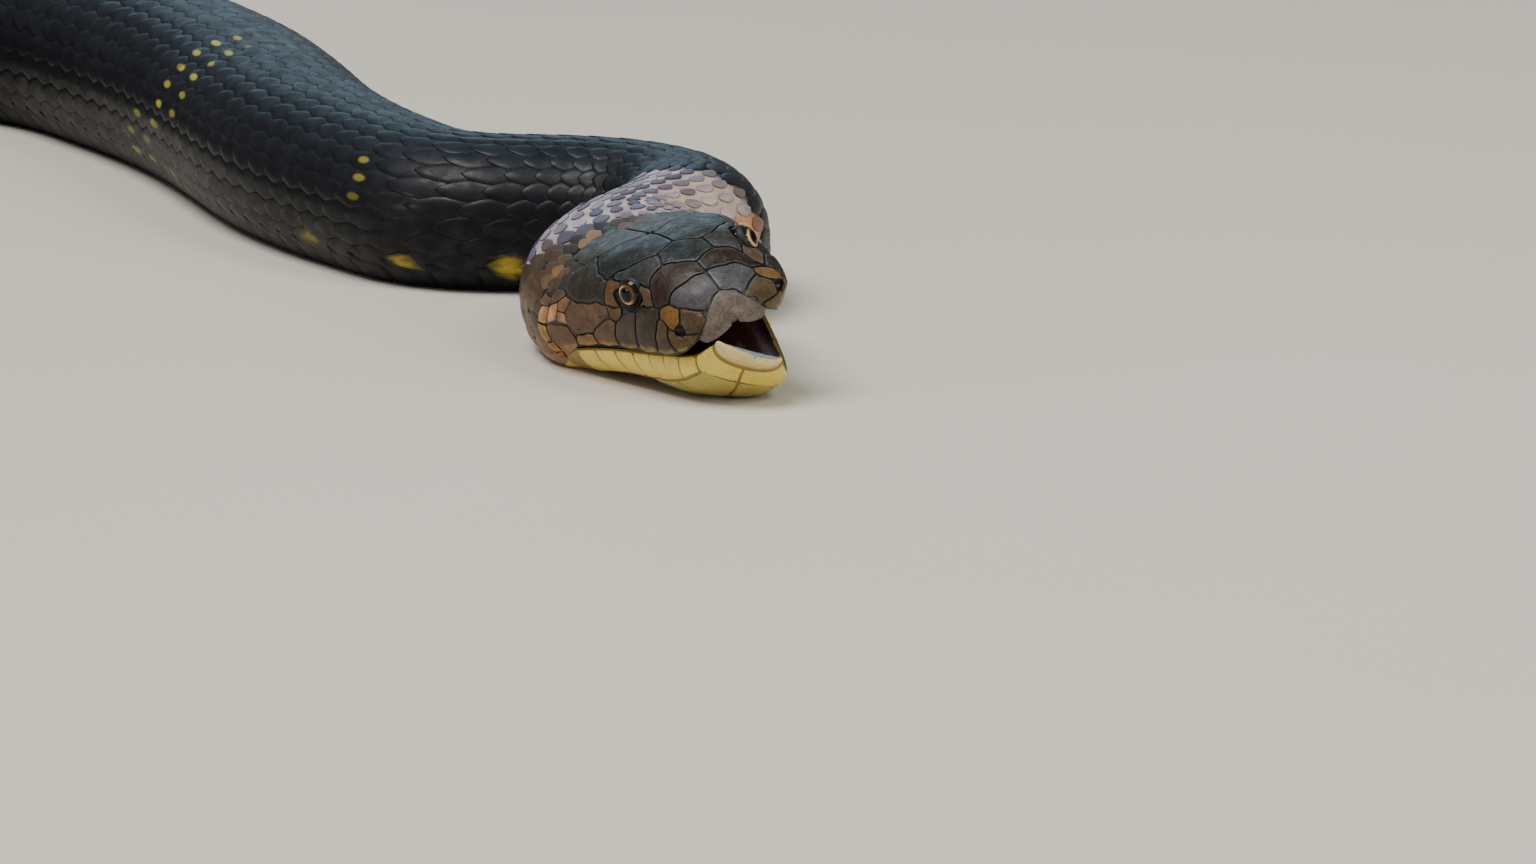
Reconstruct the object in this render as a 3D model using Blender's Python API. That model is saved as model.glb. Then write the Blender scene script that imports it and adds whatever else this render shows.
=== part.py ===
# King cobra lying in loose curves, head turned to the front right, mouth ajar.
# Sizes are in millimetres until a mesh is made, and Z is up.
import math

import bpy
import bmesh
import numpy as np

for old in list(bpy.data.objects):
    bpy.data.objects.remove(old, do_unlink=True)

# Where the head is and how it is turned
SNOUT_AT = np.array([-7.6, 34.0, 19.4])
HEAD_YAW = -67.5
HEAD_PITCH = -0.5
HEAD_ROLL = 20.0
HEAD_BACK = 70.0
GAP = 0.3

# Head profiles: distance behind the snout, then the value there
CROWN = [(0, 5.6), (1, 9.2), (2.5, 11.0), (5, 13.0), (9, 15.0), (16, 17.6), (25, 19.5),
         (34, 19.3), (43, 18.1), (52, 16.8), (61, 15.6), (70, 15.0), (80, 14.0)]
CHEEK = [(0, 3.8), (1, 7.0), (2.5, 9.6), (5, 12.1), (9, 14.2), (14, 15.9), (20, 17.4),
         (26, 18.7), (34, 20.8), (42, 23.2), (50, 25.6), (58, 27.6), (66, 29.0), (80, 29.0)]
LIP = [(0, 2.6), (1.5, 2.2), (4, 0.2), (7, -1.6), (12, -2.7), (22, -3.0), (34, -3.0),
       (46, -3.6), (56, -5.0), (64, -6.0), (80, -6.0)]
FLARE = 5.0
FLARE_AT = 9.0
FLARE_REACH = (8.0, 19.0)
FLARE_LIP = 0.3
SQUARE = 1.3

# Lower jaw profiles on the same scale, reaching a little in front of the snout
JAW_TIP = -2.6
JAW_WIDE = [(-2.6, 1.6), (-2.0, 5.0), (-0.6, 8.0), (2, 10.4), (6, 12.4), (11, 14.2), (18, 16.0)]
JAW_DEEP = [(-2.6, 1.4), (-1.5, 2.7), (2, 4.5), (8, 7.5), (14, 9.8), (20, 10.8), (40, 11.3),
            (55, 12.1), (70, 13.0), (80, 13.0)]
JAW_TURN = [(-3, -40.0), (6, -34.0), (14, -26.0), (28, -14.0), (44, -6.0), (60, -1.0), (66, 0.0),
            (80, 0.0)]
JAW_DROP = [(-3, 7.0), (1, 4.8), (4, 2.7), (9, 0.8), (16, 0.0), (80, 0.0)]

# Corners of the head shields on the right side, each with its distance behind the snout and its
# angle round the skin, which is 0 at the lip and 90 on the crown
CORNERS = {
    "m1": (2.4, 90), "m2": (8.0, 90), "m3": (13.1, 90), "m4": (25.5, 90), "m5": (40, 90),
    "m6": (66, 90), "r1": (1.5, 68), "r2": (1.2, 48), "r3": (1.1, 28), "r4": (1.8, 8),
    "r5": (2.6, 1.5), "i1": (8.8, 76), "i2": (9.2, 62), "i3": (9.8, 50), "i4": (9.2, 44),
    "i5": (6.5, 42), "p1": (18.2, 67), "p2": (17.8, 55), "p3": (16.8, 48), "p4": (15.5, 44),
    "p5": (13.1, 37), "p6": (11.7, 38), "f1": (22.6, 73), "s1": (25.3, 62), "s2": (29.5, 54),
    "s3": (35.0, 45.5), "s4": (29.4, 45), "s5": (20.3, 46.5), "q1": (40.0, 50), "q2": (45.1, 56),
    "q3": (48.5, 62), "q4": (45.5, 74), "n1": (5.4, 31), "n2": (4.6, 17), "n3": (6.8, 22),
    "n4": (9.2, 25), "n5": (11.6, 31), "l1": (8.8, 1.5), "l2": (16.2, 1.5), "l3": (24.6, 1.5),
    "l4": (32.8, 1.5), "l5": (41.3, 1.5), "l6": (50.4, 1.5), "l7": (58, 1.5), "k1": (9.4, 13),
    "k2": (13.6, 21), "k3": (22.3, 18), "k4": (32.2, 10), "k5": (41.2, 11), "k6": (49.5, 8),
    "k7": (61, 6), "e1": (20.8, 28), "e2": (15.4, 35), "e3": (18.8, 35), "e4": (19.7, 41),
    "e5": (26.6, 26), "e6": (28.0, 30), "e7": (28.6, 36), "e8": (27.6, 42), "o1": (33.6, 30),
    "o2": (32.6, 22), "o3": (34.4, 36), "w1": (29.8, 20), "t1": (38.3, 17), "t2": (47.7, 12),
    "t3": (50.2, 18), "t4": (51.7, 26), "t5": (48.5, 33), "t6": (53.7, 40), "t7": (55.8, 49),
    "t8": (51.5, 56), "v1": (60.6, 20), "v2": (61.5, 31), "v3": (59.5, 41), "v4": (64, 48),
    "v5": (63, 60), "v6": (66, 74),
}
SHIELDS = {
    "rostral": "m1 r1 r2 r3 r4 r5",
    "internasal": "m1 m2 i1 i2 i3 i4 i5 r2 r1",
    "prefrontal": "m2 m3 p1 p2 p3 p4 p5 p6 i4 i3 i2 i1",
    "frontal": "m3 p1 f1 m4",
    "supraocular": "p1 f1 s1 s2 s3 s4 s5 p3 p2",
    "parietal": "m4 m5 q4 q3 q2 q1 s3 s2 s1 f1",
    "occipital": "m5 m6 v6 v5 t8 q3 q4",
    "nasal_front": "i5 n1 n2 r4 r3 r2",
    "nasal_back": "i5 i4 p6 n5 n4 n3 n1",
    "preocular": "p3 p4 p5 e2 e3 e4 s5",
    "postocular_top": "s3 s4 e8 e7 e6 o1 o3",
    "postocular_low": "e6 e5 w1 o2 o1",
    "labial_1": "r4 r5 l1 k1 n4 n3 n2",
    "labial_2": "n4 k1 l1 l2 k2 n5",
    "labial_3": "n5 k2 l2 l3 k3 e1 e3 e2 p5 p6",
    "labial_4": "e1 k3 l3 l4 k4 w1 e5",
    "labial_5": "w1 k4 l4 l5 k5 t1 o2",
    "labial_6": "k5 l5 l6 k6 t2",
    "labial_7": "t3 k6 l6 l7 k7 v1",
    "temporal_low": "o1 o2 t1 k5 t2 k6 t3 t4 t5",
    "temporal_top": "s3 o3 o1 t5 t6 t7 t8 q3 q2 q1",
    "temporal_back": "t5 t4 t3 v1 v2 v3 t6",
    "temporal_nape": "t7 t6 v3 v4 v5 t8",
}
# Seams of the lower labials and of the chin shields along the lower jaw
JAW_SEAMS = [0.6, 5.5, 11.5, 17.5, 23.5, 30, 37, 45, 53]
JAW_BANDS = [1.5, 34]
CHIN_SEAMS = [3.5, 14, 25]
CHIN_BANDS = [52, 86]
SHIELD_RISE = 0.4
SHIELD_SINK = 0.7
SHIELD_GAP = 0.35
EDGE_STEP = 4.0

# Middles of the eyes in the head, mm behind the snout, to the left and up; the left side of the
# face is drawn forward by the bite, and the back of its crown is shorter
EYES = {"eye_right": (24.4, -13.9, 12.4), "eye_left": (21.0, 15.4, 13.6)}
EYE_RADIUS = 4.0
SOCKET = 0.3
NOSTRIL_AT = (5.8, 21.5)
LEFT_FORWARD = 4.0
LEFT_SHORTER = 5.5

# Route of the body from the head back: length of each stretch, then its turn in degrees
ROUTE = [(40, -54), (90, 119), (38, -55), (90, -16), (111, 13), (80, 35), (160, 122),
         (450, -16), (260, -164), (430, 14), (290, 168), (380, -10), (260, -166), (230, 24),
         (230, 112), (200, -70)]
# Body sizes: distance from the head along the body, then the value there
HALF_WIDE = [(0, 28.4), (10, 27.0), (36, 21.6), (80, 22.0), (130, 23.4), (300, 28.2), (700, 28.6),
             (1100, 29.0), (1800, 28.8), (2250, 25.5), (2560, 19.6), (2620, 17.6), (2800, 13.6),
             (3080, 8.0), (3290, 3.0), (3340, 1.2)]
TALL = [(0, 37.5), (130, 38.2), (300, 44.5), (700, 47.5), (1100, 50.5), (1800, 51), (2250, 45),
        (2560, 35), (2620, 31.5), (2800, 24.5), (3080, 14.5), (3290, 5.4), (3340, 2.2)]
CUTS = [108, 529, 840, 1189, 1550, 1894, 2230, 2609, 2970]
VENT = 2609
RING_STEP = 20.0
RING_POINTS = 16
ORIGIN_SHIFT = (647.8, -153.55)


def profile(table, x):
    # Smooth curve through the stations that never overshoots them
    xs = np.array([row[0] for row in table], float)
    ys = np.array([row[1] for row in table], float)
    step = np.diff(xs)
    slope = np.diff(ys) / step
    tangent = np.zeros(len(xs))
    tangent[0] = slope[0]
    tangent[-1] = slope[-1]
    for i in range(1, len(xs) - 1):
        if slope[i - 1] * slope[i] > 0:
            w1 = 2 * step[i] + step[i - 1]
            w2 = step[i] + 2 * step[i - 1]
            tangent[i] = (w1 + w2) / (w1 / slope[i - 1] + w2 / slope[i])
    x = np.clip(np.asarray(x, float), xs[0], xs[-1])
    i = np.clip(np.searchsorted(xs, x) - 1, 0, len(step) - 1)
    u = (x - xs[i]) / step[i]
    left = ys[i] * (1 + 2 * u) * (1 - u) ** 2 + tangent[i] * step[i] * u * (1 - u) ** 2
    right = ys[i + 1] * u * u * (3 - 2 * u) + tangent[i + 1] * step[i] * u * u * (u - 1)
    return left + right


def ease(x):
    x = np.clip(x, 0.0, 1.0)
    return x * x * (3 - 2 * x)


def headAxes():
    yaw, pitch, roll = (math.radians(a) for a in (HEAD_YAW, HEAD_PITCH, HEAD_ROLL))
    ahead = np.array([math.cos(pitch) * math.cos(yaw), math.cos(pitch) * math.sin(yaw),
                      math.sin(pitch)])
    level = np.array([-math.sin(yaw), math.cos(yaw), 0.0])
    above = np.cross(ahead, level)
    left = level * math.cos(roll) + above * math.sin(roll)
    top = above * math.cos(roll) - level * math.sin(roll)
    return ahead, left, top


AHEAD, LEFT, TOP = headAxes()


def fromHead(points):
    # Head points (behind, left, up) placed in the world
    p = np.asarray(points, float)
    return SNOUT_AT - p[..., 0:1] * AHEAD + p[..., 1:2] * LEFT + p[..., 2:3] * TOP


def headSkin(t, angle):
    # Skin of the upper head: angle 0 is the right lip, 90 the crown, 180 the left lip
    t = np.asarray(t, float)
    a = np.radians(angle)
    t, a = np.broadcast_arrays(t, a)
    wide, low, high = profile(CHEEK, t), profile(LIP, t), profile(CROWN, t)
    power = 2.0 + 0.7 * np.clip(t / 12, 0, 1) - 0.25 * np.clip((t - 50) / 20, 0, 1)
    # The left side is squarer beside the eye, and pushed outward a little above the lip
    power = power + SQUARE * (a > math.pi / 2) * ease((t - 6) / 14) * (1 - ease((t - 34) / 20))
    c, s = np.cos(a), np.abs(np.sin(a))
    reach = (np.abs(c) ** power + s ** power) ** (-1 / power)
    y = -wide * c * reach
    z = low + (high - low) * s * reach
    lowness = np.clip(1 - (z - low) / 7.0, 0, 1)
    y = y * (1 - 0.07 * lowness ** 1.5)
    share = (z - low) / (high - low)
    bulge = FLARE_LIP + (1 - FLARE_LIP) * np.clip(share / 0.3, 0, 1)
    bulge = bulge * (1 - ease((share - 0.42 - 0.18 * ease((t - 12) / 10)) / 0.42))
    spread = np.where(t < FLARE_AT, *FLARE_REACH)
    y = y + FLARE * np.exp(-((t - FLARE_AT) / spread) ** 2) * ease((y - 4) / 8) * bulge
    return np.stack([t, y, z], -1)


def upperSkin(t, angle):
    return fromHead(headSkin(t, angle))


def leftCorner(t, angle):
    # The left side's corner for one of the right side
    forward = ease((t - 6) / 12) * (1 - ease((t - 34) / 18)) * ease((85 - angle) / 25)
    shorter = ease((t - 50) / 12) * ease((angle - 25) / 25)
    return float(t - LEFT_FORWARD * forward - LEFT_SHORTER * shorter), 180 - angle


def jawPoint(t, y, z):
    # Jaw points are turned about the right lip so that the left side hangs open
    turn = np.radians(profile(JAW_TURN, t))
    edge = -profile(CHEEK, np.maximum(t, 0)) * 0.93
    lip = profile(LIP, t)
    dy, dz = y - edge, z - lip
    newY = edge + dy * np.cos(turn) - dz * np.sin(turn)
    newZ = lip + dy * np.sin(turn) + dz * np.cos(turn) - profile(JAW_DROP, t)
    shift = 1 - ease(t / 40)
    return np.stack([t, newY + 2.6 * shift, newZ], -1)


def jawHalf(t):
    own = profile(JAW_WIDE, t)
    cheek = profile(CHEEK, np.maximum(t, 0)) * 0.93
    return own + (cheek - own) * ease((t - 10) / 10)


def jawSkin(t, angle):
    # Skin of the lower jaw: angle 0 is the left lip, 90 the keel, 180 the right lip
    t = np.asarray(t, float)
    a = np.radians(np.asarray(angle, float))
    t, a = np.broadcast_arrays(t, a)
    reach = (np.abs(np.cos(a)) ** 2.4 + np.abs(np.sin(a)) ** 2.4) ** (-1 / 2.4)
    y = jawHalf(t) * np.cos(a) * reach
    z = profile(LIP, t) - GAP - profile(JAW_DEEP, t) * np.abs(np.sin(a)) * reach
    return fromHead(jawPoint(t, y, z))


def bodyRoute(spacing):
    # Points, headings and distances of the centre line, from the head to the tail tip
    total = sum(length for length, turn in ROUTE)
    s = np.linspace(0, total, int(total / spacing) + 1)
    heading = np.full(len(s), HEAD_YAW + 180.0)
    done = 0.0
    for length, turn in ROUTE:
        heading = heading + turn * ease((s - done) / length)
        done += length
    heading = np.radians(heading)
    base = fromHead([[HEAD_BACK, 0, 0]])[0]
    step = np.diff(s)
    c, q = np.cos(heading), np.sin(heading)
    x = np.concatenate([[0], np.cumsum(step * (c[1:] + c[:-1]) / 2)])
    y = np.concatenate([[0], np.cumsum(step * (q[1:] + q[:-1]) / 2)])
    return s, x + base[0], y + base[1], heading


LINE = bodyRoute(1.0)
TOTAL = LINE[0][-1]


def bodyRing(s, count=RING_POINTS):
    # One cross-section of the body, belly flat on the floor and rolled with the head in front
    x, y, heading = (np.interp(s, LINE[0], LINE[i]) for i in (1, 2, 3))
    wide, tall = float(profile(HALF_WIDE, s)), float(profile(TALL, s))
    back = float(ease(s / 70))
    high = 21.0 + (0.56 * tall - 21.0) * back
    deep = 11.0 + (0.56 * tall - 11.0) * back
    power = 2.45 - 0.3 * back
    roll = math.radians(HEAD_ROLL) * (1 - float(ease(s / 90)))
    side = np.array([-math.sin(heading), math.cos(heading), 0.0])
    # The body is walked backwards, so its left side is the route's right
    left = -side * math.cos(roll) + np.array([0, 0, math.sin(roll)])
    up = side * math.sin(roll) + np.array([0, 0, math.cos(roll)])
    drop = fromHead([[HEAD_BACK, 0, -6.0]])[0] - fromHead([[HEAD_BACK, 0, 0.0]])[0]
    centre = np.array([x, y, 0.0]) + drop * (1 - back)
    centre[2] = fromHead([[HEAD_BACK, 0, -6.0]])[0][2] * (1 - back) + 0.44 * tall * back
    a = 2 * math.pi * (np.arange(count) + 0.5) / count
    c, q = np.cos(a), np.sin(a)
    reach = (np.abs(c) ** power + np.abs(q) ** power) ** (-1 / power)
    across = wide * c * reach
    rise = np.where(q > 0, high, deep) * q * reach
    ring = centre + across[:, None] * left + rise[:, None] * up
    ring[:, 2] = np.maximum(ring[:, 2], 0.0)
    return ring


def loft(rings):
    # Closed faces round a row of rings, capped at both ends
    count = len(rings[0])
    verts = [tuple(p) for ring in rings for p in ring]
    faces = []
    for i in range(len(rings) - 1):
        for k in range(count):
            m = (k + 1) % count
            faces.append((i * count + k, i * count + m, (i + 1) * count + m, (i + 1) * count + k))
    faces.append(tuple(reversed(range(count))))
    faces.append(tuple((len(rings) - 1) * count + k for k in range(count)))
    return verts, faces


def makeMaterial(name, colour, roughness):
    material = bpy.data.materials.new(name)
    material.use_nodes = True
    shader = material.node_tree.nodes["Principled BSDF"]
    shader.inputs["Base Color"].default_value = (*colour, 1.0)
    shader.inputs["Roughness"].default_value = roughness
    return material


def makeObject(name, verts, faces, material=None):
    shift = np.array([ORIGIN_SHIFT[0], ORIGIN_SHIFT[1], 0.0])
    mesh = bpy.data.meshes.new(name)
    mesh.from_pydata([tuple((np.array(v) + shift) * 0.001) for v in verts], [], faces)
    work = bmesh.new()
    work.from_mesh(mesh)
    bmesh.ops.remove_doubles(work, verts=work.verts, dist=2e-5)
    bmesh.ops.recalc_face_normals(work, faces=work.faces)
    work.to_mesh(mesh)
    work.free()
    item = bpy.data.objects.new(name, mesh)
    bpy.context.scene.collection.objects.link(item)
    if material:
        mesh.materials.append(material)
    return item


def ball(name, centre, radii, rows=10, columns=16):
    # Centre and radii are in the head's own directions
    verts = [(centre[0], centre[1], centre[2] + radii[2])]
    for i in range(1, rows):
        tilt = math.pi * i / rows
        for k in range(columns):
            a = 2 * math.pi * k / columns
            verts.append((centre[0] + radii[0] * math.sin(tilt) * math.cos(a),
                          centre[1] + radii[1] * math.sin(tilt) * math.sin(a),
                          centre[2] + radii[2] * math.cos(tilt)))
    verts.append((centre[0], centre[1], centre[2] - radii[2]))
    faces = []
    last = len(verts) - 1
    for k in range(columns):
        m = (k + 1) % columns
        faces.append((0, 1 + k, 1 + m))
        faces.append((last, last - columns + m, last - columns + k))
        for i in range(rows - 2):
            r = 1 + i * columns
            faces.append((r + k, r + columns + k, r + columns + m, r + m))
    return makeObject(name, fromHead(verts), faces)


def skinWithLift(surface, t, angle, lift):
    # Point on a surface of (t, angle), moved out along its normal but never into the floor
    d = 0.05
    here = surface(t, angle)
    along = surface(t + d, angle) - here
    across = surface(t, angle + 0.5) - here
    normal = np.cross(across, along)
    length = np.linalg.norm(normal, axis=-1, keepdims=True)
    moved = here + normal / np.maximum(length, 1e-9) * lift
    moved[..., 2] = np.maximum(moved[..., 2], 0.0)
    return moved


def closedPlate(name, surface, outline, lifts, sink, reach):
    # Domed plate over an outline of (t, angle), sunk into the surface under it
    corners = np.array(outline, float)
    points = []
    for i in range(len(corners)):
        first, second = corners[i], corners[(i + 1) % len(corners)]
        ends = surface(np.array([first[0], second[0]]), np.array([first[1], second[1]]))
        pieces = max(1, int(math.ceil(np.linalg.norm(ends[1] - ends[0]) / EDGE_STEP)))
        for k in range(pieces):
            points.append(first + (second - first) * k / pieces)
    points = np.array(points)
    middle = points.mean(axis=0)
    place = surface(points[:, 0], points[:, 1])
    centre = surface(middle[0:1], middle[1:2])[0]
    size = np.linalg.norm(place - centre, axis=1)
    inner = middle + (points - middle) * (1 - reach / size)[:, None]
    layers = []
    if size.max() < 8:
        lifts = lifts[:-1]
    for share, lift in lifts:
        at = middle + (inner - middle) * share
        layers.append(skinWithLift(surface, at[:, 0], at[:, 1], lift))
    below = skinWithLift(surface, inner[:, 0], inner[:, 1], -sink)
    top = skinWithLift(surface, middle[0:1], middle[1:2], lifts[-1][1])[0]
    base = skinWithLift(surface, middle[0:1], middle[1:2], -sink)[0]
    count = len(points)
    verts = [tuple(p) for layer in [below] + layers for p in layer] + [tuple(base), tuple(top)]
    faces = []
    rows = len(layers) + 1
    for k in range(count):
        m = (k + 1) % count
        for r in range(rows - 1):
            faces.append((r * count + k, r * count + m, (r + 1) * count + m, (r + 1) * count + k))
        faces.append((k, rows * count, m))
        faces.append(((rows - 1) * count + k, (rows - 1) * count + m, rows * count + 1))
    return makeObject(name, verts, faces)


def joinPlates(body, plates):
    # One union of the body and its plates, keeping the largest closed surface
    group = bpy.data.collections.new("plates")
    bpy.context.scene.collection.children.link(group)
    for plate in plates:
        bpy.context.scene.collection.objects.unlink(plate)
        group.objects.link(plate)
    step = body.modifiers.new("plates", "BOOLEAN")
    step.operation = "UNION"
    step.solver = "MANIFOLD"
    step.operand_type = "COLLECTION"
    step.collection = group
    bpy.context.view_layer.objects.active = body
    bpy.ops.object.modifier_apply(modifier=step.name)
    for plate in plates:
        bpy.data.objects.remove(plate, do_unlink=True)
    bpy.data.collections.remove(group)
    keepLargest(body)


def keepLargest(body):
    # Only the largest closed surface stays
    work = bmesh.new()
    work.from_mesh(body.data)
    bmesh.ops.triangulate(work, faces=work.faces)
    bmesh.ops.remove_doubles(work, verts=work.verts, dist=2e-6)
    bmesh.ops.dissolve_degenerate(work, dist=2e-6, edges=work.edges)
    left = set(work.faces)
    groups = []
    while left:
        start = left.pop()
        group, queue = [start], [start]
        while queue:
            for edge in queue.pop().edges:
                for other in edge.link_faces if len(edge.link_faces) == 2 else []:
                    if other in left:
                        left.discard(other)
                        group.append(other)
                        queue.append(other)
        groups.append(group)
    groups.sort(key=len)
    for group in groups[:-1]:
        bmesh.ops.delete(work, geom=group, context="FACES")
    work.to_mesh(body.data)
    work.free()


def cutAway(body, cutters):
    # Hollows are cut one by one, then slivers go
    for cutter in cutters:
        step = body.modifiers.new("cut", "BOOLEAN")
        step.operation = "DIFFERENCE"
        step.solver = "MANIFOLD"
        step.object = cutter
        bpy.context.view_layer.objects.active = body
        bpy.ops.object.modifier_apply(modifier=step.name)
        bpy.data.objects.remove(cutter, do_unlink=True)
    keepLargest(body)


skin = makeMaterial("head_skin", (0.10, 0.085, 0.06), 0.42)
jawLook = makeMaterial("jaw_skin", (0.55, 0.46, 0.20), 0.45)
eyeGlass = makeMaterial("eye_glass", (0.03, 0.02, 0.01), 0.08)
bodySkin = makeMaterial("body_skin", (0.02, 0.024, 0.028), 0.40)

# Upper head with an arched palate between the lips
stations = [0.05, 0.5, 1.2, 2.5, 4.5, 7, 10, 14, 18, 22, 27, 32, 37, 42, 47, 52, 57, 62, 66, 70]
rings = []
for t in stations:
    upper = headSkin(t, np.linspace(0, 180, 25))
    right, left = upper[0], upper[-1]
    arch = 4.5 * float(ease((t - 0.5) / 8)) * (1 - 0.85 * float(ease((t - 46) / 18)))
    palate = []
    for f in (0.06, 0.2, 0.5, 0.8, 0.94):
        point = left + (right - left) * f
        rise = arch * (1 - (2 * f - 1) ** 4) ** 0.5
        palate.append(point + np.array([0, 0, 0.15 + rise]))
    rings.append(fromHead(np.vstack([upper, palate])))
head = makeObject("head", *loft(rings), skin)

# Raised shields on the head
plates = []
lifts = [(1.0, 0.15), (0.86, SHIELD_RISE), (0.45, SHIELD_RISE)]
for name, path in SHIELDS.items():
    right = [CORNERS[key] for key in path.split()]
    mirrored = [leftCorner(t, angle) for t, angle in right]
    if name == "rostral":
        lip = [(0.7, 1.5), (0.1, 4), (0.1, 176), (0.7, 178.5)]
        outlines = [right + lip + mirrored[:0:-1]]
    elif name == "frontal":
        outlines = [right + mirrored[2:0:-1]]
    else:
        outlines = [right, mirrored]
    for outline in outlines:
        plates.append(closedPlate(name, upperSkin, outline, lifts, SHIELD_SINK, SHIELD_GAP))
joinPlates(head, plates)

# Lower jaw, its floor hollowed between the lips and its chin flat on the floor
stations = [JAW_TIP, -2.0, -0.8, 1.2, 4, 8, 12, 17, 22, 28, 34, 40, 46, 52, 58, 64, 70]
rings = []
for t in stations:
    half = float(jawHalf(t))
    lip = float(profile(LIP, t)) - GAP
    hollow = 3.0 * float(ease((t + 2) / 8)) * (1 - 0.9 * float(ease((t - 46) / 18)))
    under = jawSkin(np.full(19, float(t)), np.linspace(0, 180, 19))
    f = np.array([0.07, 0.22, 0.5, 0.78, 0.93])
    floor = jawPoint(np.full(5, float(t)), -half + 2 * half * f,
                     lip - hollow * (1 - (2 * f - 1) ** 4) ** 0.5)
    ring = np.vstack([under, fromHead(floor)])
    ring[:, 2] = np.maximum(ring[:, 2], 0.0)
    rings.append(ring)
jaw = makeObject("lower_jaw", *loft(rings), jawLook)

# Lower labials along the lips, and two pairs of chin shields
plates = []
for seams, bands in ((JAW_SEAMS, JAW_BANDS), (CHIN_SEAMS, CHIN_BANDS)):
    for start, end in zip(seams, seams[1:]):
        outline = [(start, bands[0]), (end, bands[0]), (end, bands[1]), (start, bands[1])]
        for side in (outline, [(t, 180 - angle) for t, angle in outline]):
            plates.append(closedPlate("labial", jawSkin, side, lifts, SHIELD_SINK, SHIELD_GAP))
joinPlates(jaw, plates)

# Eyes in their sockets, and the nostrils
cutters = []
for name, centre in EYES.items():
    eye = ball(name, centre, [EYE_RADIUS] * 3)
    eye.data.materials.append(eyeGlass)
    cutters.append(ball("socket", centre, [EYE_RADIUS + SOCKET] * 3))
for angle in (NOSTRIL_AT[1], 180 - NOSTRIL_AT[1]):
    nostril = headSkin(NOSTRIL_AT[0], angle)
    cutters.append(ball("nostril", nostril, (1.2, 2.2, 1.3), 6, 8))
cutAway(head, cutters)

# Body in lengths that meet face to face
edges = [0.0] + [float(c) for c in CUTS] + [TOTAL]
for i in range(len(edges) - 1):
    first = edges[i] + (GAP if i == 0 else GAP / 2)
    last = edges[i + 1] - (0 if i == len(edges) - 2 else GAP / 2)
    number = max(2, int(round((last - first) / RING_STEP)))
    rings = [bodyRing(s) for s in np.linspace(first, last, number + 1)]
    if i == 0:
        name = "neck"
    elif edges[i] < VENT:
        name = "body_%d" % i
    else:
        name = "tail_%d" % (i - 7)
    makeObject(name, *loft(rings), bodySkin)
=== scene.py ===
# A life-size king cobra: one skin, shields and scales raised on it, eyes, a pale floor and soft light
import math

import bmesh
import bpy
import numpy as np
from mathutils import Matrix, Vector


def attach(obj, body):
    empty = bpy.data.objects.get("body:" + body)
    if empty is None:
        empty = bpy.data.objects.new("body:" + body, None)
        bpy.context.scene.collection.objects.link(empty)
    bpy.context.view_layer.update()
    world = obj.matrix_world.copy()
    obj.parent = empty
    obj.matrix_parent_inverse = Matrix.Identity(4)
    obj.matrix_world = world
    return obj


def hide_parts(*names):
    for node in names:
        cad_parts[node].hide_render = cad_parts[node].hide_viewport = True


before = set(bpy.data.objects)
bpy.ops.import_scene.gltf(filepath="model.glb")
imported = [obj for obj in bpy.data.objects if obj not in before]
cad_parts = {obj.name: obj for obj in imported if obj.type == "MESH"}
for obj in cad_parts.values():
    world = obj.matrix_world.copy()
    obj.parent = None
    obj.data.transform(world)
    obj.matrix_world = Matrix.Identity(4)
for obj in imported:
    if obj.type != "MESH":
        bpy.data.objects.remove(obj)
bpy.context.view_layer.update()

chance = np.random.default_rng(11)
fleshNodes = [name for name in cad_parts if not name.startswith("eye")]

# Camera at the photograph's angle; the target is the floor under the snout's side
photo = {
    "target": (0.6478, -0.15355, 0.0015),
    "distance": 3.0,
    "elevation": 12.0,
    "pixelsPerMetre": 4100.0,   # at the target
    "frameWidth": 1536,
    "sensor": 36.0,
}


def addItem(name, data):
    # A new object in the scene
    item = bpy.data.objects.new(name, data)
    bpy.context.scene.collection.objects.link(item)
    return item


def placeCamera():
    data = bpy.data.cameras.new("photoCamera")
    data.sensor_width = photo["sensor"]
    data.lens = photo["pixelsPerMetre"] * photo["distance"] / photo["frameWidth"] * photo["sensor"]
    item = addItem("photoCamera", data)
    tilt = math.radians(photo["elevation"])
    look = Vector((0, math.cos(tilt), -math.sin(tilt)))
    item.location = Vector(photo["target"]) - photo["distance"] * look
    item.rotation_euler = (math.pi / 2 - tilt, 0, 0)
    bpy.context.scene.camera = item


placeCamera()
print("camera placed")

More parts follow.
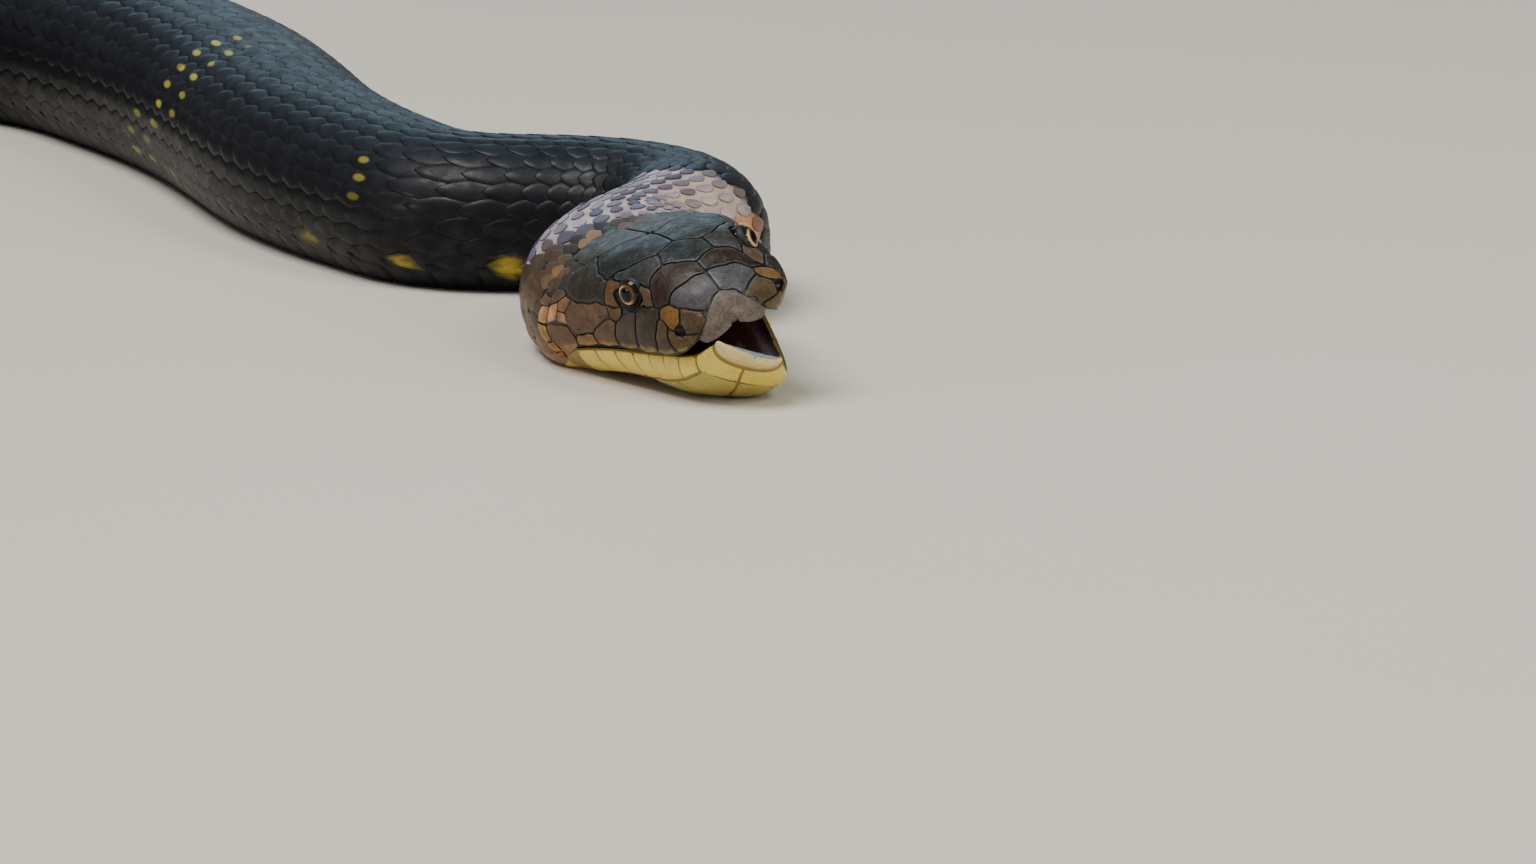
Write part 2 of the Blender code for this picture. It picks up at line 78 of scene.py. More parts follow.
# The form, in millimetres, with the same named sizes as the solids.
# Head tables give the distance behind the snout, then the value there.
head = {
    "snoutAt": np.array([-7.6, 34.0, 19.4]),
    "yaw": -67.5,
    "pitch": -0.5,
    "roll": 20.0,
    "length": 70.0,
    "lipGap": 0.3,
    "crown": [(0, 5.6), (1, 9.2), (2.5, 11.0), (5, 13.0), (9, 15.0), (16, 17.6), (25, 19.5),
              (34, 19.3), (43, 18.1), (52, 16.8), (61, 15.6), (70, 15.0), (80, 14.0)],
    "cheek": [(0, 3.8), (1, 7.0), (2.5, 9.6), (5, 12.1), (9, 14.2), (14, 15.9), (20, 17.4),
              (26, 18.7), (34, 20.8), (42, 23.2), (50, 25.6), (58, 27.6), (66, 29.0), (80, 29.0)],
    "lip": [(0, 2.6), (1.5, 2.2), (4, 0.2), (7, -1.6), (12, -2.7), (22, -3.0), (34, -3.0),
            (46, -3.6), (56, -5.0), (64, -6.0), (80, -6.0)],
    "power": [(0, 2.0), (12, 2.7), (50, 2.7), (70, 2.45)],     # 2 is a round section, more is squarer
    "square": 1.3,              # added to the power on the left side, over this stretch
    "squareSpan": (13, 44, 14, 20),
    "lipTuck": (0.07, 7.0),     # the share drawn in at the lip, and how high up it starts, mm
    "flare": 5.0,               # the left side's push outward, mm
    "flareAt": 9.0,
    "flareReach": (8.0, 19.0),
    "flareLip": 0.3,
    "eyes": {"eye_right": (24.4, -13.9, 12.4), "eye_left": (21.0, 15.4, 13.6)},
    "eyeRadius": 4.0,
    "leftForward": 4.0,         # the left side's shields are drawn forward beside the eye
    "forwardSpan": (12, 43, 12, 18),
    "leftShorter": 5.5,         # and end sooner behind
    "nostrilAt": 5.8,
    "nostrilAngles": (21.5, 158.5),
    "nostrilSize": (1.25, 5.4),  # half its length along the head in mm, and round it in degrees
}
jaw = {
    "tip": -2.6,
    "wide": [(-2.6, 1.6), (-2.0, 5.0), (-0.6, 8.0), (2, 10.4), (6, 12.4), (11, 14.2), (18, 16.0)],
    "deep": [(-2.6, 1.4), (-1.5, 2.7), (2, 4.5), (8, 7.5), (14, 9.8), (20, 10.8), (40, 11.3),
             (55, 12.1), (70, 13.0), (80, 13.0)],
    "turn": [(-3, -40.0), (6, -34.0), (14, -26.0), (28, -14.0), (44, -6.0), (60, -1.0), (66, 0.0),
             (80, 0.0)],
    "drop": [(-3, 7.0), (1, 4.8), (4, 2.7), (9, 0.8), (16, 0.0), (80, 0.0)],
    "power": 2.4,
    "corner": 60.0,             # where the lips meet behind
    "closes": 7.0,              # the gape fades over this length in front of the corner
    "cheekShare": 0.93,
    "tipShift": 2.6,            # how far the tip is pushed to the left
}
body = {
    "route": [(40, -54), (90, 119), (38, -55), (90, -16), (111, 13), (80, 35), (160, 122),
              (450, -16), (260, -164), (430, 14), (290, 168), (380, -10), (260, -166), (230, 24),
              (230, 112), (200, -70)],
    "halfWide": [(0, 28.4), (10, 27.0), (36, 21.6), (80, 22.0), (130, 23.4), (300, 28.2),
                 (700, 28.6), (1100, 29.0), (1800, 28.8), (2250, 25.5), (2560, 19.6), (2620, 17.6),
                 (2800, 13.6), (3080, 8.0), (3290, 3.0), (3340, 1.2)],
    "tall": [(0, 37.5), (130, 38.2), (300, 44.5), (700, 47.5), (1100, 50.5), (1800, 51),
             (2250, 45), (2560, 35), (2620, 31.5), (2800, 24.5), (3080, 14.5), (3290, 5.4),
             (3340, 2.2)],
    "neckHighDeep": (21.0, 11.0),   # half heights at the neck joint, above and below its middle line
    "halfTall": 0.56,           # the part of the body's height above its middle line
    "neckPower": 2.45,          # how square the section is at the neck joint, and behind
    "power": 2.15,
    "restsFrom": 70.0,          # the whole body lies on the floor from here back
    "levelFrom": 90.0,          # and the head's roll has gone
    "originShift": (647.8, -153.55),
}


def profile(table, x):
    # Smooth curve through the stations that never overshoots them
    xs = np.array([row[0] for row in table], float)
    ys = np.array([row[1] for row in table], float)
    step = np.diff(xs)
    slope = np.diff(ys) / step
    tangent = np.zeros(len(xs))
    tangent[0] = slope[0]
    tangent[-1] = slope[-1]
    for i in range(1, len(xs) - 1):
        if slope[i - 1] * slope[i] > 0:
            w1 = 2 * step[i] + step[i - 1]
            w2 = step[i] + 2 * step[i - 1]
            tangent[i] = (w1 + w2) / (w1 / slope[i - 1] + w2 / slope[i])
    x = np.clip(np.asarray(x, float), xs[0], xs[-1])
    i = np.clip(np.searchsorted(xs, x) - 1, 0, len(step) - 1)
    u = (x - xs[i]) / step[i]
    left = ys[i] * (1 + 2 * u) * (1 - u) ** 2 + tangent[i] * step[i] * u * (1 - u) ** 2
    right = ys[i + 1] * u * u * (3 - 2 * u) + tangent[i + 1] * step[i] * u * u * (u - 1)
    return left + right


def ease(x):
    x = np.clip(x, 0.0, 1.0)
    return x * x * (3 - 2 * x)


def between(x, low, high, soft, softHigh=None):
    # 1 inside a range, fading to 0 over a soft edge at each end
    return ease((x - low) / soft + 0.5) * (1 - ease((x - high) / (softHigh or soft) + 0.5))


def squared(c, s, power):
    # Factor that takes a circle's point to a squarer outline
    return (np.abs(c) ** power + np.abs(s) ** power) ** (-1 / power)


def fullTurn(angle):
    # The same angles, from 0 to 360
    return np.where(angle < 0, angle + 360, angle)


def headAxes():
    yaw, pitch, roll = (math.radians(head[key]) for key in ("yaw", "pitch", "roll"))
    ahead = np.array([math.cos(pitch) * math.cos(yaw), math.cos(pitch) * math.sin(yaw),
                      math.sin(pitch)])
    level = np.array([-math.sin(yaw), math.cos(yaw), 0.0])
    above = np.cross(ahead, level)
    left = level * math.cos(roll) + above * math.sin(roll)
    top = above * math.cos(roll) - level * math.sin(roll)
    return ahead, left, top


aheadAxis, leftAxis, topAxis = headAxes()


def fromHead(points):
    # Head points (behind, left, up) placed in the world
    p = np.asarray(points, float)
    return head["snoutAt"] - p[..., 0:1] * aheadAxis + p[..., 1:2] * leftAxis + p[..., 2:3] * topAxis


def upperHead(t, angle):
    # Skin of the upper head: angle 0 is the right lip, 90 the crown, 180 the left lip
    a = np.radians(angle)
    wide, low, high = (profile(head[key], t) for key in ("cheek", "lip", "crown"))
    power = np.interp(t, *zip(*head["power"]))
    # The left side is squarer beside the eye, and pushed outward a little above the lip
    power = power + head["square"] * (a > math.pi / 2) * between(t, *head["squareSpan"])
    c, s = np.cos(a), np.abs(np.sin(a))
    reach = squared(c, s, power)
    share = s * reach
    z = low + (high - low) * share
    tuck, tuckHigh = head["lipTuck"]
    y = -wide * c * reach * (1 - tuck * np.clip(1 - (z - low) / tuckHigh, 0, 1) ** 1.5)
    bulge = np.interp(share, (0, 0.3), (head["flareLip"], 1))
    bulge = bulge * (1 - ease((share - 0.42 - 0.18 * ease((t - 12) / 10)) / 0.42))
    spread = np.where(t < head["flareAt"], *head["flareReach"])
    out = head["flare"] * np.exp(-((t - head["flareAt"]) / spread) ** 2)
    y = y + out * ease((y - 4) / 8) * bulge
    return np.stack([t, y, z], -1)


def leftCorner(t, angle):
    # The left side's place for one of the right side
    forward = between(t, *head["forwardSpan"]) * ease((85 - angle) / 25)
    shorter = ease((t - 50) / 12) * ease((angle - 25) / 25)
    return float(t - head["leftForward"] * forward - head["leftShorter"] * shorter), 180 - angle


# Hollows in the skin, painted dark as shade, at the nostrils and before the eyes: distance behind the
# snout, angle, half lengths and depth
hollows = [(head["nostrilAt"], angle, 1.7, 7.5, 1.7) for angle in head["nostrilAngles"]]
hollows += [(23.2, 38.5, 6.2, 9.5, 1.3), (19.6, 138.0, 5.4, 9.0, 1.0)]


def hollowed(s, angle):
    # How deep the skin is sunk at a place, and how much painted shade darkens it
    depth, paintedShade = np.zeros(np.shape(s)), np.zeros(np.shape(s))
    for t, middle, halfLong, halfWide, deep in hollows:
        away = np.hypot((s + head["length"] - t) / halfLong, (angle - middle) / halfWide)
        depth = np.maximum(depth, deep * (1 - ease((away - 0.45) / 0.55)))
        paintedShade = np.maximum(paintedShade, 1 - ease((away - 0.85) / 0.3))
    return depth, paintedShade


def openShare(t):
    # 1 where the mouth is open, fading to 0 at its corner
    return 1 - ease((t - jaw["corner"] + jaw["closes"]) / jaw["closes"])


def jawCheek(t):
    # Half width of the jaw where it hangs from the cheek
    return profile(head["cheek"], np.maximum(t, 0)) * jaw["cheekShare"]


def jawPoint(t, y, z):
    # Jaw points are turned about the right lip so that the left side hangs open
    turn = np.radians(profile(jaw["turn"], t)) * openShare(t)
    edge = -jawCheek(t)
    lip = profile(head["lip"], t)
    dy, dz = y - edge, z - lip
    newY = edge + dy * np.cos(turn) - dz * np.sin(turn) + jaw["tipShift"] * (1 - ease(t / 40))
    newZ = lip + dy * np.sin(turn) + dz * np.cos(turn) - profile(jaw["drop"], t)
    return np.stack([t, newY, newZ], -1)


def jawHalf(t):
    own = profile(jaw["wide"], t)
    return own + (jawCheek(t) - own) * ease((t - 10) / 10)


def lipGap(t):
    return head["lipGap"] * openShare(t)


def lowerJaw(t, angle):
    # Skin of the lower jaw: angle 180 is the left lip, 270 the keel, 360 the right lip
    a = np.radians(angle)
    c, s = np.cos(a), np.abs(np.sin(a))
    reach = squared(c, s, jaw["power"])
    y = -jawHalf(t) * c * reach
    z = profile(head["lip"], t) - lipGap(t) - profile(jaw["deep"], t) * s * reach
    return jawPoint(t, y, z)


def bodyLine(spacing=1.0):
    # Centre line from 90 mm in front of the neck joint to the tail tip
    total = sum(length for length, turn in body["route"])
    s = np.arange(-90, total + spacing / 2, spacing)
    heading = np.full(len(s), head["yaw"] + 180.0)
    done = 0.0
    for length, turn in body["route"]:
        heading = heading + turn * ease((s - done) / length)
        done += length
    heading = np.radians(heading)
    base = fromHead([[head["length"], 0, 0]])[0]
    x, y = (np.concatenate([[0], np.cumsum((f[1:] + f[:-1]) / 2 * spacing)])
            for f in (np.cos(heading), np.sin(heading)))
    start = int(np.argmin(np.abs(s)))
    return s, x - x[start] + base[0], y - y[start] + base[1], heading, total


lineS, lineX, lineY, lineHeading, bodyLength = bodyLine()
neckLevel = -6.0                # the body's middle line at the neck joint, in the head's own height


def trunk(s, angle):
    # Body skin, belly flat on the floor and rolled with the head in front; 90 is the back
    x, y, heading = (np.interp(s, lineS, line) for line in (lineX, lineY, lineHeading))
    at = np.maximum(s, 0)
    wide, tall = profile(body["halfWide"], at), profile(body["tall"], at)
    back = ease(at / body["restsFrom"])
    high, deep = (neck + (body["halfTall"] * tall - neck) * back for neck in body["neckHighDeep"])
    roll = math.radians(head["roll"]) * (1 - ease(at / body["levelFrom"]))
    drop = neckLevel * topAxis
    level = fromHead([[head["length"], 0, neckLevel]])[0][2] - np.minimum(s, 0) * aheadAxis[2]
    a = np.radians(angle)
    c, q = -np.cos(a), np.sin(a)
    reach = squared(c, q, body["neckPower"] + (body["power"] - body["neckPower"]) * back)
    across = wide * c * reach
    rise = np.where(q > 0, high, deep) * q * reach
    side = -across * np.cos(roll) + rise * np.sin(roll)
    px = x + drop[0] * (1 - back) - np.sin(heading) * side
    py = y + drop[1] * (1 - back) + np.cos(heading) * side
    pz = level * (1 - back) + (1 - body["halfTall"]) * tall * back
    pz = pz + across * np.sin(roll) + rise * np.cos(roll)
    return np.stack([px, py, pz], -1)


def outer(s, angle):
    # The whole animal's surface; s is 0 at the neck joint and negative on the head
    s, angle = np.broadcast_arrays(np.asarray(s, float), np.asarray(angle, float))
    angle = fullTurn(angle)
    t = s + head["length"]
    front = np.minimum(t, 75)
    over = fromHead(upperHead(front, np.minimum(angle, 180)))
    under = fromHead(lowerJaw(front, np.maximum(angle, 180)))
    near = np.where((angle <= 180)[..., None], over, under)
    share = ease((t - 57) / 13)[..., None]
    made = near * (1 - share) + trunk(s, angle) * share
    made[..., 2] = np.maximum(made[..., 2], 0.0)
    return made


def place(s, angle, lift, floor=0.0):
    # Surface points moved out along their normals, kept above the floor
    s, angle, lift = np.broadcast_arrays(*(np.asarray(v, float) for v in (s, angle, lift)))
    angle = fullTurn(angle)
    low = np.where(angle <= 180, 0, 180.0001)
    high = np.where(angle <= 180, 180, 360)
    before, after = np.clip(angle - 0.5, low, high), np.clip(angle + 0.5, low, high)
    across = outer(s, after) - outer(s, before)
    ds = 0.15
    along = outer(s + ds, angle) - outer(s - ds, angle)
    normal = np.cross(across, along)
    normal /= np.maximum(np.linalg.norm(normal, axis=-1, keepdims=True), 1e-9)
    made = outer(s, angle) + normal * lift[..., None]
    made[..., 2] = np.maximum(made[..., 2], floor)
    return made


# Round the girth, 0 is the middle of the belly and 1 comes back to it by the right side and the back
girthAt = np.concatenate([np.arange(-72, 120, 4.0), np.arange(120, bodyLength + 15, 15.0)])
girthAngles = np.linspace(-90, 270, 241)


def measureGirth():
    ring = outer(girthAt[:, None], fullTurn(girthAngles)[None, :])
    step = np.linalg.norm(np.diff(ring, axis=1), axis=-1)
    run = np.concatenate([np.zeros((len(step), 1)), np.cumsum(step, axis=1)], axis=1)
    share = np.linspace(0, 1, 241)
    angles = np.array([np.interp(share, row / row[-1], girthAngles) for row in run])
    return angles, run[:, -1]


girthTable, girthLength = measureGirth()


def angleAt(s, q):
    # Angle on the skin at a share q of the girth
    s, q = np.broadcast_arrays(np.asarray(s, float), np.mod(np.asarray(q, float), 1.0))
    row = np.interp(s, girthAt, np.arange(len(girthAt)))
    r0 = np.minimum(row.astype(int), len(girthAt) - 2)
    column = q * 240
    c0 = np.minimum(column.astype(int), 239)
    f, g = row - r0, column - c0
    top = girthTable[r0, c0] * (1 - g) + girthTable[r0, c0 + 1] * g
    bottom = girthTable[r0 + 1, c0] * (1 - g) + girthTable[r0 + 1, c0 + 1] * g
    return top * (1 - f) + bottom * f


def girth(s):
    return np.interp(s, girthAt, girthLength)


def tone(r, g, b):
    # A colour read as 0 to 255 on a screen, as light
    c = np.array([r, g, b], float) / 255
    return np.where(c > 0.04045, ((c + 0.055) / 1.055) ** 2.4, c / 12.92)


def blendTo(base, colour, share):
    return base + (colour - base) * np.asarray(share)[..., None]


def ripple(x, y, seed=0.0):
    # Smooth uneven pattern between 0 and 1
    a = np.sin(x * 1.0 + 1.7 * np.sin(y * 0.7 + seed) + seed)
    b = np.sin(y * 1.3 + 1.3 * np.sin(x * 0.9 + 2.1 * seed) + 0.5 * seed)
    c = np.sin((x + y) * 0.6 + 2.0 * np.sin((x - y) * 0.35 + seed))
    return 0.5 + (a + b + c) / 6


colours = {
    "blackSkin": tone(10, 11, 13),
    "blackScale": tone(18, 19, 25),
    "paleSkin": tone(194, 182, 192),
    "paleSkinWarm": tone(212, 184, 172),
    "paleScale": tone(92, 84, 110),
    "paleScaleLight": tone(180, 168, 182),
    "cream": tone(190, 170, 92),
    "jawSkin": tone(166, 138, 72),
    "orange": tone(220, 138, 46),
    "brownScale": tone(78, 62, 44),
    "nape": tone(58, 54, 38),
    "tanScale": tone(152, 114, 76),
    # painted sheen: a blue-teal reflection on scales that face up
    "paintedScaleSheen": tone(32, 46, 56),
    "bandYellow": tone(178, 172, 66),
    "edgeYellow": tone(176, 152, 42),
    "mouth": tone(128, 82, 76),
    # painted shade deep inside the mouth
    "mouthDeepShade": tone(52, 26, 26),
    # pale gum with a painted blue-white wet highlight
    "lowerGumHighlight": tone(150, 172, 190),
    "upperGum": tone(92, 78, 70),
    # painted shade in the nostrils and the recesses before the eyes
    "hollow": tone(9, 8, 8),
    "rostral": tone(104, 92, 84),
    "besideLip": tone(150, 122, 72),
    # painted blue sheen on shields that face up
    "paintedShieldSheen": tone(50, 70, 84),
    # painted highlight along the shields' rims
    "paintedRimHighlight": tone(96, 112, 112),
    # painted highlight along fine crackle lines on the shields
    "crackleHighlight": tone(104, 128, 132),
    "seam": tone(12, 11, 11),
    "lowerLabial": tone(238, 210, 84),
    # the chin's own cream-yellow, darkened by painted shade beneath the jaw
    "chin": tone(182, 166, 76),
    "mental": tone(234, 208, 138),
    "jawMottle": tone(150, 156, 84),
    "jawSeam": tone(128, 100, 50),
    # painted shade: the eye socket's dark rim
    "eyeRimShade": tone(15, 13, 12),
    "floor": tone(214, 208, 198),
    "floorPatch": tone(200, 192, 180),
}
paleTo = 61.0                   # where the stretched pale neck ends, in mm behind the neck joint

bands = {
    # Lines of pale spots: distance along the body, strength, half length of a spot
    "lines": [(160, 0.75, 1.5), (262, 0.9, 2.8), (277, 0.9, 2.8)],
    "sparse": {160: (31, 15)},  # the front band shows only on part of the right side
    "every": 88.0,
    "gap": 14.0,
    "from": 540.0,
    "halfLong": 2.35,
    "halfWide": 1.05,
    "lowFrom": 18,              # spots below this angle are longer and fainter, and lie further back
    "lowLonger": 0.5,
    "lowFainter": 0.45,
    "lowBack": 28.0,
    "faint": (82, 140, 16),     # the back's left half, where spots are faint
    "faintness": 0.9,
    # Soft spots where the belly plates end: distance, angle, half length, half height, strength
    "blotches": [(132, 335, 3.4, 8.5, 1.0), (150, 334, 1.8, 6, 0.9), (178, 337, 4.4, 4, 0.4),
                 (270, 333, 3, 5, 0.3)],
}


def palePlace(s, angle):
    # 1 on the stretched pale neck, which starts further forward on the left
    start = 5.0 - 14.0 * ease((angle - 85) / 35)
    start = start + 3.0 * ease((62 - angle) / 10) + 7.0 * ease((48 - angle) / 16)
    return between(s, start, paleTo, 7, 6)


# Soft places: a stretch along the body, then parts of the girth, each with its soft edge
zones = {
    "skinRear": ((-24, 9, 8), (-5, 62, 12), (158, 190, 12), (345, 365, 8)),
    "scaleRear": ((-30, 12, 9), (-5, 66, 20), (160, 190, 20), (345, 365, 10)),
    "skinCorner": ((-15, 10, 6), (322, 365, 10), (-5, 14, 8)),
    "scaleCorner": ((-16, 8, 8), (318, 365, 10), (-5, 10, 8)),
    "scaleBright": ((-24, -6, 6), (10, 27, 8)),
    "nape": ((-14, 3, 6), (60, 102, 10)),
    "orangeFlank": ((36, 62, 10), (157, 205, 14)),      # low on the bend's outer side
}


def zone(name, s, angle):
    along, *around = zones[name]
    return between(s, *along) * np.clip(sum(between(angle, *part) for part in around), 0, 1)


def orangeFlank(s, angle):
    return zone("orangeFlank", s, angle) * (0.55 + 0.45 * ripple(s * 0.3, angle * 0.12, 2.0))


def throat(s, angle, start, fade):
    return between(angle, 222, 318, 14) * (1 - ease((s - start) / fade))


def skinTint(s, angle):
    # Colour of the bare skin between scales
    angle = fullTurn(angle)
    c = blendTo(colours["blackSkin"], colours["cream"] * 0.7, throat(s, angle, 20, 70))
    warm = ease((angle - 70) / 60) * (angle < 212)
    pale = blendTo(colours["paleSkin"], colours["paleSkinWarm"], warm)
    pale = pale * (0.6 + 0.5 * ripple(s * 0.55, angle * 0.13)[..., None])
    c = blendTo(c, pale, palePlace(s, angle) * (1 - between(angle, 212, 338, 16)))
    c = blendTo(c, colours["orange"], orangeFlank(s, angle))
    c = blendTo(c, colours["brownScale"] * 0.35, zone("skinRear", s, angle))
    c = blendTo(c, colours["tanScale"], 0.8 * zone("skinCorner", s, angle))
    return blendTo(c, colours["jawSkin"], (s < -10) * between(angle, 180, 361, 1))


def scaleTint(s, angle):
    # Colour of the small scales
    angle = fullTurn(angle)
    light = ease(ripple(s * 0.9, angle * 0.31, 3.0) * 2.6 - 0.9) * 0.9
    patch = blendTo(colours["paleScale"], colours["paleScaleLight"], light)
    patch = blendTo(patch, colours["paleSkinWarm"] * 0.85, ease((angle - 105) / 45) * 0.6 * (angle < 212))
    patch = blendTo(patch, colours["orange"], orangeFlank(s, angle) * 0.75)
    c = blendTo(colours["blackScale"], patch, palePlace(s - 1, angle))
    rear = zone("scaleRear", s, angle)
    c = blendTo(c, colours["brownScale"], rear)
    gold = ease(ripple(s * 0.2, angle * 0.23, 4.0) * 3 - 1.1)[..., None]
    nape = colours["nape"] * (1 - gold) + colours["tanScale"] * 0.8 * gold
    c = blendTo(c, nape, zone("nape", s, angle))
    streak = ease(ripple(s * 0.22 + angle * 0.05, angle * 0.5, 1.0) * 3 - 1.6)
    for share in (rear * streak * 0.35,
                  zone("scaleBright", s, angle) * (0.4 + 0.6 * streak) * 0.85,
                  zone("scaleCorner", s, angle) * 0.75):
        c = blendTo(c, colours["tanScale"], share)
    # Painted shade: the low flanks are darkened
    low = ease((np.abs((angle + 90) % 360 - 180) - 58) / 40) * ease((s - 50) / 40)
    c = c * (1 - 0.4 * low[..., None])              # darker low on the flanks
    under = (s < -6) * between(angle, 200, 340, 16)
    return blendTo(c, colours["cream"], np.maximum(throat(s, angle, 40, 90), under))


def blotched(c, s, angle):
    # A tint with the yellow spots low on the right side of the neck
    angle = fullTurn(angle)
    for at, middle, halfLong, halfHigh, strength in bands["blotches"]:
        away = np.hypot((s - at) / halfLong, (angle - middle) / halfHigh)
        c = blendTo(c, colours["edgeYellow"], strength * (1 - ease((away - 0.55) / 0.7)))
    return c


class Wire:
    # A node socket that takes part in sums; each sum adds its Math node

    def __init__(self, tree, socket=None):
        self.tree = tree
        self.socket = socket

    def node(self, kind, settings=None, sockets=None, out=0):
        made = self.tree.nodes.new(kind)
        for name, value in (settings or {}).items():
            setattr(made, name, value)
        for key, value in (sockets or {}).items():
            self.feed(made.inputs[key], value)
        return Wire(self.tree, made.outputs[out])

    def feed(self, target, value):
        if isinstance(value, Wire):
            self.tree.links.new(value.socket, target)
        elif isinstance(value, np.ndarray) and len(value) == 3 and target.type == "RGBA":
            target.default_value = (*value, 1.0)
        else:
            target.default_value = value

    def math(self, operation, *values):
        return self.node("ShaderNodeMath", {"operation": operation}, dict(enumerate(values)))

    def __add__(self, other):
        return self.math("ADD", self, other)

    def __mul__(self, other):
        return self.math("MULTIPLY", self, other)

    def __rsub__(self, other):
        return self.math("SUBTRACT", other, self)

    __radd__ = __add__
    __rmul__ = __mul__

    def ramp(self, low, high, first=0.0, last=1.0):
        # Smooth step from low to high
        return self.node("ShaderNodeMapRange", {"interpolation_type": "SMOOTHSTEP"},
                         {"Value": self, 1: low, 2: high, 3: first, 4: last})

    def colourMix(self, kind, share, first, second):
        return self.node("ShaderNodeMix", {"data_type": "RGBA", "blend_type": kind},
                         {0: share, 6: first, 7: second}, out=2)

    def mix(self, first, second):
        # This value chooses between two colours
        return self.colourMix("MIX", self, first, second)

    def shading(self, colour):
        # A colour multiplied by this value
        return self.colourMix("MULTIPLY", 1.0, colour, self)

    def noise(self, scale, detail=3.0, stretch=(1, 1, 1)):
        where = self.node("ShaderNodeTexCoord", out=3)
        sized = self.node("ShaderNodeMapping", None, {"Vector": where, "Scale": stretch})
        return self.node("ShaderNodeTexNoise", None,
                         {"Vector": sized, "Scale": scale, "Detail": detail})

    def attribute(self, name, out=0):
        return self.node("ShaderNodeAttribute", {"attribute_name": name}, out=out)

    def parts(self, vector):
        # The three numbers of a vector
        outputs = self.node("ShaderNodeSeparateXYZ", None, {0: vector}).socket.node.outputs
        return [Wire(self.tree, outputs[i]) for i in range(3)]

    def facing(self):
        # How far the surface faces up, -1 to 1
        return self.parts(self.node("ShaderNodeNewGeometry", out=1))[2]

    def bump(self, height, strength, distance=0.0006):
        return self.node("ShaderNodeBump", None,
                         {"Height": height, "Strength": strength, "Distance": distance})


def makeLook(name, finish, **fixed):
    # A Principled material; finish gives its varying sockets, fixed its constant ones
    look = bpy.data.materials.new(name)
    look.use_nodes = True
    tree = look.node_tree
    shader = tree.nodes["Principled BSDF"]
    wire = Wire(tree)
    for key, value in finish(wire).items():
        wire.feed(shader.inputs[key], value)
    for key, value in fixed.items():
        shader.inputs[key.replace("_", " ")].default_value = value
    return look


def meshPiece(name, points, faces, look, tint, marks=None, tie=None):
    # Points in mm become a smooth mesh piece in metres, with its colours and bake map
    tint = np.broadcast_to(tint, points.shape).reshape(-1, 3)
    shift = np.array([*body["originShift"], 0.0])
    mesh = bpy.data.meshes.new(name)
    mesh.from_pydata(((points.reshape(-1, 3) + shift) * 0.001).tolist(), [], faces)
    mesh.shade_smooth()
    layer = mesh.attributes.new("tint", "FLOAT_COLOR", "POINT")
    layer.data.foreach_set("color", np.hstack([tint, np.ones((len(tint), 1))]).ravel())
    for key, value in (marks or {}).items():
        single = value.size == len(tint)
        layer = mesh.attributes.new(key, "FLOAT" if single else "FLOAT_VECTOR", "POINT")
        layer.data.foreach_set("value" if single else "vector", value.ravel())
    if tie is not None:
        corners = np.empty(len(mesh.loops), dtype=np.int32)
        mesh.loops.foreach_get("vertex_index", corners)
        layer = mesh.uv_layers.new(name="OFBake")
        layer.uv.foreach_set("vector", tie.reshape(-1, 2)[corners].ravel())
    mesh.materials.append(look)
    item = addItem(name, mesh)
    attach(item, "root")
    return item


def gridFaces(rows, columns, closed=False, turned=False):
    # Quads of a grid of rows by columns, closed round the columns where asked
    faces = []
    for r in range(rows - 1):
        for c in range(columns if closed else columns - 1):
            d = (c + 1) % columns
            face = (r * columns + c, r * columns + d, (r + 1) * columns + d, (r + 1) * columns + c)
            faces.append(face[::-1] if turned else face)
    return faces


def fanFaces(first, size, tip):
    # Triangles from a closed ring to one point
    return [(first + k, first + (k + 1) % size, tip) for k in range(size)]


def moved(faces, by):
    # The same faces on points further down the list
    return [tuple(by + v for v in face) for face in faces]


def joined(parts):
    # Several meshes as one; each part has its points, its faces and lists that go with the points
    faces, count = [], 0
    for points, partFaces, *others in parts:
        faces += moved(partFaces, count)
        count += len(points)
    points, _, *others = zip(*parts)
    return np.vstack(points), faces, *(np.concatenate(lists) for lists in others)


def bakePlace(s, angle, strips=8):
    # The skin unrolled in strips, one above the other, inside the unit square
    width = (bodyLength + 90) / strips
    run = np.clip(s + 80, 0, bodyLength + 89)
    strip = np.floor(run / width)
    u = 0.01 + 0.98 * (run - strip * width) / width
    v = (strip + 0.03 + 0.94 * np.mod(angle + 90, 360) / 360) / strips
    return np.stack([u, v], -1)


# Skin
skin = {
    "under": 0.5,               # how far it lies under the scales on the body, mm
    "bareFrom": -14.0,          # from here back the skin starts to sink under scales
    "upperPoints": 64,
    "lowerPoints": 44,
    "mouthPoints": 23,
    "mouthRings": 76,
    "crowding": 1.25,           # the mouth's rings lie closer together in front
    "ringSteps": (2.0, 5.0),    # mm between the body's rings, to this distance and behind it
    "ringsFineTo": 130,
    "floor": 0.45,              # the skin stays this far above the floor, mm
    "tailFloor": 0.2,
    "wet": 0.2,
    "palateArch": 4.5,
    "floorHollow": 3.0,
    "gums": [(0.7, 0.37, 0.045), (0.5, 0.2, 0.05)],     # height, place beside the middle, half width
    "tube": 1.6,                # the breathing tube on the mouth's floor
    "fine": (2600.0, 4.0),      # scale and detail of a pattern
    "coarse": (420.0, 3.0),
    "wrinkle": (900.0, 5.0, (1.0, 1.0, 2.2)),
}


def skinLift(s):
    return -skin["under"] * ease((s - skin["bareFrom"]) / 12)


def skinFinish(wire):
    tint, wet = wire.attribute("tint"), wire.attribute("wet", 2)
    fine, coarse, wrinkle = (wire.noise(*skin[key]) for key in ("fine", "coarse", "wrinkle"))
    shade = fine * 0.35 + coarse * 0.5
    return {
        "Base Color": shade.ramp(0.1, 0.75, 0.62, 1.12).shading(tint),
        "Roughness": wet.ramp(0.0, 1.0, 0.55, 0.16) + fine * 0.08,
        "Coat Weight": wet * 0.6,
        "Normal": wire.bump(wrinkle * 0.6 + fine * 0.4, 0.35),
    }


